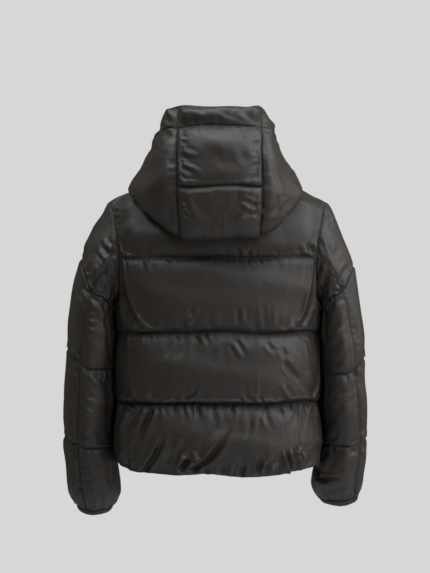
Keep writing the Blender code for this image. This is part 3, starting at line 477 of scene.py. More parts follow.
def sleeveThickness(name):
    grid = grids[name]
    rows, columns = grid.shape[:2]
    puff = np.zeros(rows)
    for tier in range(tierCount):
        span, shares = tierSpan(sleeveStops, tier)
        puff[span] = np.maximum(puff[span], tierFullness(shares) * (wall["sleevePuff"] - wall["seam"]))
    side = name.split("_")[1]
    start = sleeveStart(side)
    rise = np.zeros((rows, columns))
    for first, count in ((start, upperCells), (start + upperCells, underCells)):
        picks = [(first + k) % columns for k in range(count + 1)]
        half = riseFromSides(grid[:, picks], wall["sleeveReach"], wall["sleeveReach"])
        rise[:, picks] = np.maximum(rise[:, picks], half)
    rise[:, [start, (start + upperCells) % columns]] = wall["sleeveSeamShare"]
    rightmost, leftmost = grid[:, :, 0].max(axis=1), grid[:, :, 0].min(axis=1)
    middle, half = (rightmost + leftmost) / 2, (rightmost - leftmost) / 2
    out = (grid[:, :, 0] - middle[:, None]) / half[:, None] * (1 if side == "left" else -1)
    loss = 1 - ringBend["outerLoss"] * np.clip(out, 0, 1) - ringBend["innerLoss"] * np.clip(-out, 0, 1)
    fullness = puff[:, None] * rise * loss
    armpitColumns = [(start + upperCells + k) % columns for k in range(1, underCells)]
    armpitRows = np.clip(np.arange(rows) / sleeveStops[1], 0, 1)[:, None] ** 3
    share = (wall["armpitPuff"] - wall["seam"]) / (wall["sleevePuff"] - wall["seam"])
    fullness[:, armpitColumns] *= share + (1 - share) * armpitRows
    return wall["seam"] + fullness


def hoodThickness():
    grid = grids["hood"]
    rows, columns = grid.shape[:2]
    first, last = hoodSeams()
    rim = hoodStops[3]
    centre, crossShare = np.zeros(rows), wall["hoodCrossShare"]
    for tier, height in enumerate((wall["hoodUnderPuff"], wall["hoodPuff"], wall["hoodPuff"])):
        span, shares = tierSpan(hoodStops, tier)
        full = tierFullness(shares)
        isByCross = {1: shares > 0.5, 2: shares < 0.5}.get(tier, shares < 0)
        full = np.where(isByCross, crossShare + (1 - crossShare) * full, full)
        centre[span] = np.maximum(centre[span], full * height)
    side = readTable(hoodSidePuff, np.minimum(hoodPlaces, 3))[:, 0] * wall["hoodPuff"]
    # both sides of a lengthwise seam come down to one height, with a notch on the stitching
    atSeam = ((centre + side) / 2 * wall["hoodSeamShare"] * ease(hoodPlaces - 0.4))[:, None]
    away = sewnRuns(grid, (first, last))
    isCentre = (np.arange(columns) > first) & (np.arange(columns) < last)
    full = np.where(isCentre, centre[:, None], side[:, None])
    fullness = atSeam + (full - atSeam) * domed(away / wall["hoodReach"])
    fromZip = domed(sewnRuns(grid, (0, columns - 1)) / wall["hoodZipReach"])
    fullness *= fromZip
    notch = ((-1, wall["besideNotch"]), (0, wall["hoodNotch"]), (1, wall["besideNotch"]))
    for step, share in notch:
        for column in (first, last):
            fullness[:, column + step] *= share
    for step, share in notch:
        fullness[hoodStops[2] + step, first + 1:last] *= share
    band = tierFullness(np.linspace(0, 1, rows - rim), wall["bandRoundness"]) * wall["bandPuff"]
    bandShare = np.where(isCentre, 1, wall["bandSideShare"])
    fullness[rim:] = band[:, None] * (domed(away / wall["bandReach"]) * fromZip * bandShare)[rim:]
    reach = 5                               # rows either side of the rim's seam at the sides
    for step in range(1 - reach, reach):
        beside = (fullness[rim - reach] + fullness[rim + reach]) / 2
        share = wall["rimSeamShare"] + (1 - wall["rimSeamShare"]) * abs(step) / reach
        fullness[rim + step] = np.where(isCentre, fullness[rim + step],
                                        np.maximum(fullness[rim + step], beside * share))
    thickness = wall["seam"] + np.clip(fullness - wall["seam"] * (fullness > 0), 0, 1)
    thickness[-1] = wall["edge"]
    return thickness


def thicknessOf(name):
    if name == "hood":
        return hoodThickness()
    return sleeveThickness(name) if name.startswith("sleeve") else bodyThickness(name)


thickness = {name: thicknessOf(name) for name in grids}


# Runs along each grid, for folds that start at a seam

def arcs(grid, axis):
    step = np.linalg.norm(np.diff(grid, axis=axis), axis=2)
    start = np.zeros_like(np.take(step, [0], axis=axis))
    return np.concatenate((start, np.cumsum(step, axis=axis)), axis=axis)


across = {name: arcs(grid, 1) for name, grid in grids.items()}
down = {name: arcs(grid, 0) for name, grid in grids.items()}


ridges = {"height": 0.45, "away": 1.9, "width": 0.8}       # in shares of the trough


def foldProfile(q):
    # a trough with a soft ridge either side
    first, second = (np.exp(-((q + way * ridges["away"]) / ridges["width"]) ** 2) for way in (-1, 1))
    return -np.exp(-q ** 2) + ridges["height"] * (first + second)


def pucker(run, away, start, slant, spec, rng, isByLength):
    # one short fold at random, out from a seam
    length = spec["length"] * rng.uniform(*puckerDraw["length"])
    width = spec["width"] * rng.uniform(*puckerDraw["width"])
    depth = spec["depth"] * rng.uniform(*puckerDraw["depth"])
    if isByLength:
        depth *= math.sqrt(length / spec["length"])
    slant = rng.normal(*slant)
    q = (run - start - slant * away) / (width * (1 + puckerDraw["widening"] * away / length))
    fade = (np.clip(1 - away / length, 0, 1) ** puckerDraw["fade"]
            * (1 - np.exp(-away / puckerDraw["held"])))
    return depth * foldProfile(q) * fade


def seamPuckers(name, seamRow, count, columns, rows, rng, spec):
    # short folds that run out from a seam, closer together in some places
    field = np.zeros(grids[name].shape[:2])
    first, last = columns
    run = across[name][seamRow]
    span = slice(min(seamRow, rows), max(seamRow, rows) + 1)
    away = np.abs(down[name][span] - down[name][seamRow])
    low, high = run[first], run[last]
    bunches = rng.uniform(low, high, puckerDraw["bunches"])
    for _ in range(count):
        if rng.random() < puckerDraw["bunched"]:
            start = rng.choice(bunches) + rng.normal(0, spec["bunch"])
        else:
            start = rng.uniform(low, high)
        part = pucker(run, away, start, (spec["slant"], puckerDraw["slants"][0]), spec, rng, True)
        part[:, :first] = 0
        part[:, last + 1:] = 0
        field[span] += part
    return field


def columnPuckers(name, column, side, count, rows, rng, spec):
    # the same out from a lengthwise seam; side is 1 or -1, the way the columns run
    field = np.zeros(grids[name].shape[:2])
    columns = grids[name].shape[1]
    reach = min(columns - 1, puckerDraw["columns"])
    picks = [(column + side * k) % columns for k in range(reach + 1)]
    away = arcs(grids[name][:, picks], 1)
    run = down[name][:, column][:, None]
    for _ in range(count):
        start = rng.uniform(run[rows[0], 0], run[rows[1], 0])
        part = pucker(run, away, start, (0, puckerDraw["slants"][1]), spec, rng, False)
        part[:rows[0]] = 0
        part[rows[1] + 1:] = 0
        field[:, picks] += part
    return field


def seenFromBehind(points):
    # X and Z where the camera's lines meet the aim's plane
    aimX, aimY, aimZ = view["aim"]
    scale = view["distance"] / (aimY + view["distance"] - points[..., 1])
    return np.stack((aimX + (points[..., 0] - aimX) * scale,
                     aimZ + (points[..., 2] - aimZ) * scale), axis=-1)


def foldAlong(seen, line, width):
    # signed share of a fold's profile along a line of points, and how far along it each place is
    best = np.full(seen.shape[:-1], 1e9)
    signed, place = np.zeros_like(best), np.zeros_like(best)
    gone = 0.0
    for a, b in zip(line[:-1], line[1:]):
        step = np.linalg.norm(b - a)
        way = (b - a) / step
        offset = seen - a
        t = np.clip(offset @ way, 0, step)
        distance = np.linalg.norm(offset - t[..., None] * way, axis=-1)
        side = np.sign(offset[..., 0] * way[1] - offset[..., 1] * way[0])
        closer = distance < best
        best = np.where(closer, distance, best)
        signed = np.where(closer, distance * side, signed)
        place = np.where(closer, gone + t, place)
        gone += step
    return foldProfile(signed / width) * (best < handFoldReach["widths"] * width), place / gone


handFoldReach = {"widths": 5, "turned": (0.05, 0.3)}       # none where the cloth doesn't face back


def handFolds(outer, aim, table):
    # how far the table's folds lift each point along its direction, in metres
    seen = seenFromBehind(outer) * 1000
    low, high = seen.reshape(-1, 2).min(axis=0), seen.reshape(-1, 2).max(axis=0)
    lift = np.zeros(seen.shape[:-1])
    for width, depth, fadeIn, fadeOut, *line in table:
        line = np.array(line, float)
        reach = handFoldReach["widths"] * width
        if (line.max(axis=0) + reach < low).any() or (line.min(axis=0) - reach > high).any():
            continue
        profile, place = foldAlong(seen, line, width)
        fade = np.ones_like(place)
        if fadeIn:
            fade *= ease(place / fadeIn)
        if fadeOut:
            fade *= ease((1 - place) / fadeOut)
        lift += depth * profile * fade
    return lift / 1000 * easeFrom(aim[..., 1], *handFoldReach["turned"])


puckers = {
    "long": {"length": 0.050, "width": 0.0050, "depth": 0.0030, "slant": 0.0, "bunch": 0.020},
    "short": {"length": 0.024, "width": 0.0036, "depth": 0.0018, "slant": 0.0, "bunch": 0.025},
    "fine": {"length": 0.014, "width": 0.0026, "depth": 0.0010, "slant": 0.0, "bunch": 0.030},
    "drag": {"length": 0.090, "width": 0.0085, "depth": 0.0036, "slant": 0.10, "bunch": 0.040},
}
puckerDraw = {
    "length": (0.45, 1.5), "width": (0.7, 1.5), "depth": (0.3, 1.25),   # least and most of the above
    "slants": (0.28, 0.35),                 # spread beside crosswise and lengthwise seams
    "widening": 0.8, "fade": 1.3, "held": 0.004, "bunches": 3, "bunched": 0.55, "columns": 34, "seed": 41,
}


def startFolds():
    # random puckers of each region; the seed keeps them where they are
    rng = np.random.default_rng(puckerDraw["seed"])
    fields = {name: np.zeros(grid.shape[:2]) for name, grid in grids.items()}

    def add(name, seam, to, kinds, columns=None):
        last = grids[name].shape[1] - 1
        for kind, count in kinds.items():
            fields[name] += seamPuckers(name, seam, count, columns or (0, last), to, rng, puckers[kind])

    def addBeside(name, columns, rows, kinds):
        for column in columns:
            for way in (1, -1):
                for kind, count in kinds.items():
                    fields[name] += columnPuckers(name, column, way, count, rows, rng, puckers[kind])

    yoke, chest, waist, hem = bodyStops[1:]
    add("back", yoke, 12, {"short": 4, "fine": 16})
    add("back", yoke, chest, {"short": 6, "fine": 30})
    add("back", chest, yoke + 2, {"long": 3, "short": 12, "fine": 30})
    add("back", chest, waist, {"long": 5, "short": 20, "fine": 30})
    add("back", waist, chest, {"long": 6, "short": 16, "fine": 30})
    add("back", waist, hem, {"long": 12, "short": 24, "fine": 30})
    add("back", hem, waist, {"long": 10, "short": 26, "fine": 40})
    for side in ("left", "right"):
        front = f"front_{side}"
        add(front, yoke, 12, {"short": 8, "fine": 12})
        add(front, yoke, chest, {"long": 4, "short": 10, "fine": 14})
        add(front, chest, yoke + 2, {"long": 6, "short": 12, "fine": 14})
        add(front, chest, waist, {"long": 8, "short": 14, "fine": 14})
        add(front, waist, chest, {"long": 8, "short": 14, "fine": 14})
        add(front, waist, hem, {"long": 12, "short": 16, "fine": 14, "drag": 3})
        add(front, hem, waist, {"long": 14, "short": 18, "fine": 18, "drag": 2})
        sleeve = f"sleeve_{side}"
        start = sleeveStart(side)
        columns = grids[sleeve].shape[1]
        for tier in range(4):
            top, bottom = sleeveStops[tier], sleeveStops[tier + 1]
            kinds = {"long": 4 + 2 * tier, "short": 12 + 3 * tier, "fine": 22}
            add(sleeve, bottom, top, kinds)
            if tier:
                add(sleeve, top, bottom, kinds)
            else:
                add(sleeve, top, bottom, {"long": 3, "short": 8, "fine": 16})
            addBeside(sleeve, (start, (start + upperCells) % columns), (top, bottom),
                      {"short": 9, "fine": 10})
    under, lower, upper, rim = hoodStops[1:]
    centre = hoodSeams()
    add("hood", lower, under, {"short": 6, "fine": 12}, centre)
    add("hood", lower, upper, {"short": 4, "fine": 12}, centre)
    add("hood", upper, lower, {"fine": 10}, centre)
    add("hood", upper, lower, {"short": 8, "fine": 16})
    add("hood", upper, rim, {"short": 16, "fine": 24})
    add("hood", rim, upper, {"short": 12, "fine": 24})
    add("hood", under, lower, {"long": 6, "short": 8}, centre)
    addBeside("hood", centre, (0, upper), {"short": 9, "fine": 30})
    return fields


def sewnMask(name):
    rows, columns = grids[name].shape[:2]
    mask = np.zeros((rows, columns), bool)
    mask[0] = mask[-1] = True
    if name == "hood":
        first, last = hoodSeams()
        mask[:, [first, last, 0, -1]] = True
        mask[hoodStops[3]] = True
        mask[hoodStops, first:last] = True
    elif name.startswith("sleeve"):
        start = sleeveStart(name.split("_")[1])
        mask[sleeveStops] = True
        mask[:, [start, (start + upperCells) % columns]] = True
    else:
        mask[bodyStops] = True
        mask[:, [0, -1]] = True
    return mask


padding = {
    "frames": 24, "pressure": 3.0, "stiffness": 14.0, "bending": 0.45, "mass": 0.25, "quality": 5,
    "gravity": 0.15, "startShare": 0.93, "leastFull": 0.8, "liftBlend": 0.0015, "liftFade": 0.006,
    "leastWall": 0.0025, "mostMove": 0.009, "spareMost": 0.12, "seamReach": 0.011,
    "spareAtSeams": {"back": 0.05, "front": 0.05, "sleeve": 0.05, "hood": 0.025},
    "spare": {"back": (0.004, 0.008, 0.012, 0.020), "front": (0.01, 0.015, 0.015, 0.02),
              "sleeve": (0.010, 0.020, 0.025, 0.03), "hood": (0.005, 0.004, 0.0, 0.01)},
}


def sewnDistance(name):
    # metres from each point to the nearest seam row or column, along the cloth
    mask = sewnMask(name)
    away = np.full(mask.shape, 1.0)
    away[mask] = 0
    for axis, runs in ((0, down[name]), (1, across[name])):
        for order in (1, -1):
            own, run = np.swapaxes(away, 0, axis)[::order], np.swapaxes(runs, 0, axis)[::order]
            for k in range(1, len(own)):
                own[k] = np.minimum(own[k], own[k - 1] + np.abs(run[k] - run[k - 1]))
    return away


def spareCloth(name):
    # share by which the cloth is longer than the space it is sewn into
    region = name.split("_")[0]
    stops = stopsOf(region)
    middles = (stops[:-1] + stops[1:]) / 2
    tiers = np.interp(np.arange(grids[name].shape[0]), middles, padding["spare"][region])
    away = seamDistance[name]
    if region in ("back", "front"):
        away = np.min([np.abs(down[name] - down[name][stop]) for stop in stops], axis=0)
    near = np.exp(-(away / padding["seamReach"]) ** 2) * padding["spareAtSeams"][region]
    return tiers[:, None] + near


seamDistance = {name: sewnDistance(name) for name in grids}


def startShape(name, field):
    height = thickness[name]
    full = wall["seam"] + (height - wall["seam"]) * padding["startShare"]
    mask = sewnMask(name)
    fold = np.where(mask, 0, field)
    full = np.where(mask, height, np.maximum(full + fold, padding["leastWall"]))
    return grids[name] + directions[name] * full[:, :, None]


def gridFaces(rows, columns, isClosed):
    faces = []
    for i in range(rows - 1):
        for j in range(columns if isClosed else columns - 1):
            k = (j + 1) % columns
            faces.append((i * columns + k, i * columns + j, (i + 1) * columns + j, (i + 1) * columns + k))
    return faces


def fillWithDown(shapes):
    # cloth simulation of all the regions at once; returns their blown-up grids
    scene = bpy.context.scene
    bpy.ops.object.select_all(action="DESELECT")
    made = {}
    for name, points in shapes.items():
        rows, columns = points.shape[:2]
        mesh = bpy.data.meshes.new(name + "_cloth")
        mesh.from_pydata(points.reshape(-1, 3).tolist(), [],
                         gridFaces(rows, columns, name.startswith("sleeve")))
        cloth = bpy.data.objects.new(name + "_cloth", mesh)
        scene.collection.objects.link(cloth)
        sewn = cloth.vertex_groups.new(name="sewn")
        sewn.add(np.flatnonzero(sewnMask(name).ravel()).tolist(), 1.0, "REPLACE")
        modifier = cloth.modifiers.new("down", "CLOTH")
        settings = modifier.settings
        settings.quality = padding["quality"]
        settings.mass = padding["mass"]
        settings.tension_stiffness = settings.compression_stiffness = padding["stiffness"]
        settings.shear_stiffness = padding["stiffness"] / 2
        settings.bending_stiffness = padding["bending"]
        settings.use_pressure = True
        settings.uniform_pressure_force = padding["pressure"]
        settings.vertex_group_mass = "sewn"
        spare = cloth.vertex_groups.new(name="spare")
        for index, share in enumerate((spareCloth(name) / padding["spareMost"]).ravel().tolist()):
            spare.add([index], min(share, 1), "REPLACE")
        settings.vertex_group_shrink = "spare"
        settings.shrink_min, settings.shrink_max = 0, -padding["spareMost"]
        settings.effector_weights.gravity = padding["gravity"]
        modifier.collision_settings.use_collision = False
        modifier.point_cache.frame_end = padding["frames"] + 2
        made[name] = cloth
    for step in range(1, padding["frames"] + 1):
        scene.frame_set(step)
    found = {}
    for name, cloth in made.items():
        bpy.context.view_layer.objects.active = cloth
        bpy.ops.object.modifier_apply(modifier="down")
        flat = np.empty(len(cloth.data.vertices) * 3)
        cloth.data.vertices.foreach_get("co", flat)
        found[name] = flat.reshape(shapes[name].shape)
        bpy.data.objects.remove(cloth)
    scene.frame_set(1)
    return found


def keptNear(name, start, blown):
    # caps how far the cloth may go, and keeps it full beside the seams and off the lining
    move = blown - start
    far = np.linalg.norm(move, axis=2, keepdims=True)
    most = padding["mostMove"]
    move *= most * np.tanh(far / most) / np.maximum(far, 1e-9)
    outer = start + move
    height = np.sum((outer - grids[name]) * directions[name], axis=2)
    full = wall["seam"] + (thickness[name] - wall["seam"]) * padding["leastFull"]
    blend = padding["liftBlend"]
    lift = blend * np.logaddexp(0, (full - evened(height)) / blend)
    lift = lift * ease(seamDistance[name] / padding["liftFade"])
    least = np.maximum(padding["leastWall"], 0.5 * full)
    return outer + directions[name] * (lift + np.clip(least - height - lift, 0, None))[..., None]


def evened(field, reach=3):
    # the field without its wrinkles: running means, twice each way
    width = 2 * reach + 1
    for axis in (0, 1):
        for _ in range(2):
            edge = [(reach, reach) if k == axis else (0, 0) for k in range(2)]
            padded = np.pad(field, edge, mode="reflect")
            pieces = [np.take(padded, range(k, k + field.shape[axis]), axis=axis) for k in range(width)]
            field = sum(pieces) / width
    return field


fields = startFolds()
outers = {name: startShape(name, fields[name]) for name in grids}
blown = fillWithDown(outers)
outers = {name: keptNear(name, outers[name], blown[name]) for name in grids}
print("padding filled")


# Materials

class Value:
    # a node's output that can be used in sums
    def __init__(self, look, socket):
        self.look, self.socket = look, socket

    def maths(self, operation, other):
        return self.look.node("ShaderNodeMath", {"operation": operation}, {0: self, 1: other})

    def __add__(self, other):
        return self.maths("ADD", other)

    def __mul__(self, other):
        return self.maths("MULTIPLY", other)

    __radd__ = __add__
    __rmul__ = __mul__


class Look:
    # one material and the nodes in it
    def __init__(self, name, colour, roughness, **constants):
        self.material = bpy.data.materials.new(name)
        self.material.use_nodes = True
        self.tree = self.material.node_tree
        self.shader = self.tree.nodes["Principled BSDF"]
        self.shader.inputs["Base Color"].default_value = (*colour, 1)
        self.shader.inputs["Roughness"].default_value = roughness
        for socket, value in constants.items():
            self.shader.inputs[socket].default_value = value

    def node(self, kind, settings=None, inputs=None, output=0):
        made = self.tree.nodes.new(kind)
        for key, value in (settings or {}).items():
            setattr(made, key, value)
        for key, value in (inputs or {}).items():
            self.put(made.inputs[key], value)
        return Value(self, made.outputs[output])

    def put(self, socket, value):
        if isinstance(value, Value):
            self.tree.links.new(value.socket, socket)
        else:
            socket.default_value = value

    def feed(self, **sockets):
        for key, value in sockets.items():
            self.put(self.shader.inputs[key.replace("_", " ")], value)

    def place(self):
        return self.node("ShaderNodeTexCoord", output="Object")

    def noise(self, vector, scale, detail=2.0, roughness=0.5, distortion=0.0):
        return self.node("ShaderNodeTexNoise", None, {
            "Vector": vector, "Scale": scale, "Detail": detail, "Roughness": roughness,
            "Distortion": distortion})

    def threads(self, scale, turn=0.0):
        # fine noise drawn out along the cloth, whose own map is in metres
        uv = self.node("ShaderNodeTexCoord", output="UV")
        mapped = self.node("ShaderNodeMapping", None, {
            "Vector": uv, "Rotation": (0, 0, turn), "Scale": scale})
        return self.noise(mapped, 1.0, 1.0)

    def mix(self, factor, first, second):
        # sockets 6, 7 and output 2 are the ones for colours
        return self.node("ShaderNodeMix", {"data_type": "RGBA"}, {0: factor, 6: first, 7: second}, output=2)

    def bump(self, height, strength, distance, normal=None):
        inputs = {"Height": height, "Strength": strength, "Distance": distance}
        if normal:
            inputs["Normal"] = normal
        return self.node("ShaderNodeBump", None, inputs)


def shaded(colour, share):
    return (*(value * share for value in colour), 1)


shellLook = {
    "colour": (0.0180, 0.0145, 0.0115), "specular": 0.5, "roughness": 0.45,
    # the seam share darkens the colour beside the stitching: partly the pressed cloth's own tone, mostly
    # painted shade of the seam's groove
    "dark": 0.82, "light": 1.22, "pressed": 0.3,                        # shares of the colour
    "blotchRoughness": 0.08, "crinkleRoughness": 0.05, "seamRoughness": 0.35,
    "weave": (0.25, 0.00012), "crinkle": (0.22, 0.0012), "soft": (0.30, 0.004),     # bumps
}


def makeShell():
    spec = shellLook
    look = Look("glossy nylon shell", spec["colour"], spec["roughness"],
                **{"Specular IOR Level": spec["specular"]})
    place = look.place()
    blotches = look.noise(place, 9.0, 3.0, 0.55)
    crinkle = look.noise(place, 70.0, 4.0, 0.6, 0.4)
    soft = look.noise(place, 28.0, 3.0, 0.5, 0.6)
    colour = look.mix(blotches, shaded(spec["colour"], spec["dark"]), shaded(spec["colour"], spec["light"]))
    # painted shade: towards the stitching the colour darkens as if shaded by the seam's groove, and the cloth
    # turns matt
    atSeam = look.node("ShaderNodeAttribute", {"attribute_name": "atSeam"}, output="Fac")
    look.feed(Base_Color=look.mix(atSeam, colour, shaded(spec["colour"], spec["pressed"])),
              Roughness=(spec["roughness"] + spec["blotchRoughness"] * blotches
                         + spec["crinkleRoughness"] * crinkle + spec["seamRoughness"] * atSeam))
    threads = look.threads((2600.0, 260.0, 1.0)) + look.threads((260.0, 2600.0, 1.0))
    weave = look.bump(threads, *spec["weave"])
    look.feed(Normal=look.bump(soft, *spec["soft"], look.bump(crinkle, *spec["crinkle"], weave)))
    return look.material


def makeLining():
    look = Look("satin lining", (0.012, 0.012, 0.013), 0.5, **{"Specular IOR Level": 0.4})
    cloud = look.noise(look.place(), 14.0, 3.0)
    look.feed(Base_Color=look.mix(cloud, (0.009, 0.009, 0.010, 1), (0.017, 0.017, 0.018, 1)),
              Roughness=0.44 + 0.14 * cloud)
    weave = look.threads((1500.0, 120.0, 1.0), 0.8)
    look.feed(Normal=look.bump(cloud, 0.25, 0.004, look.bump(weave, 0.1, 0.0001)))
    return look.material


shell, lining = makeShell(), makeLining()
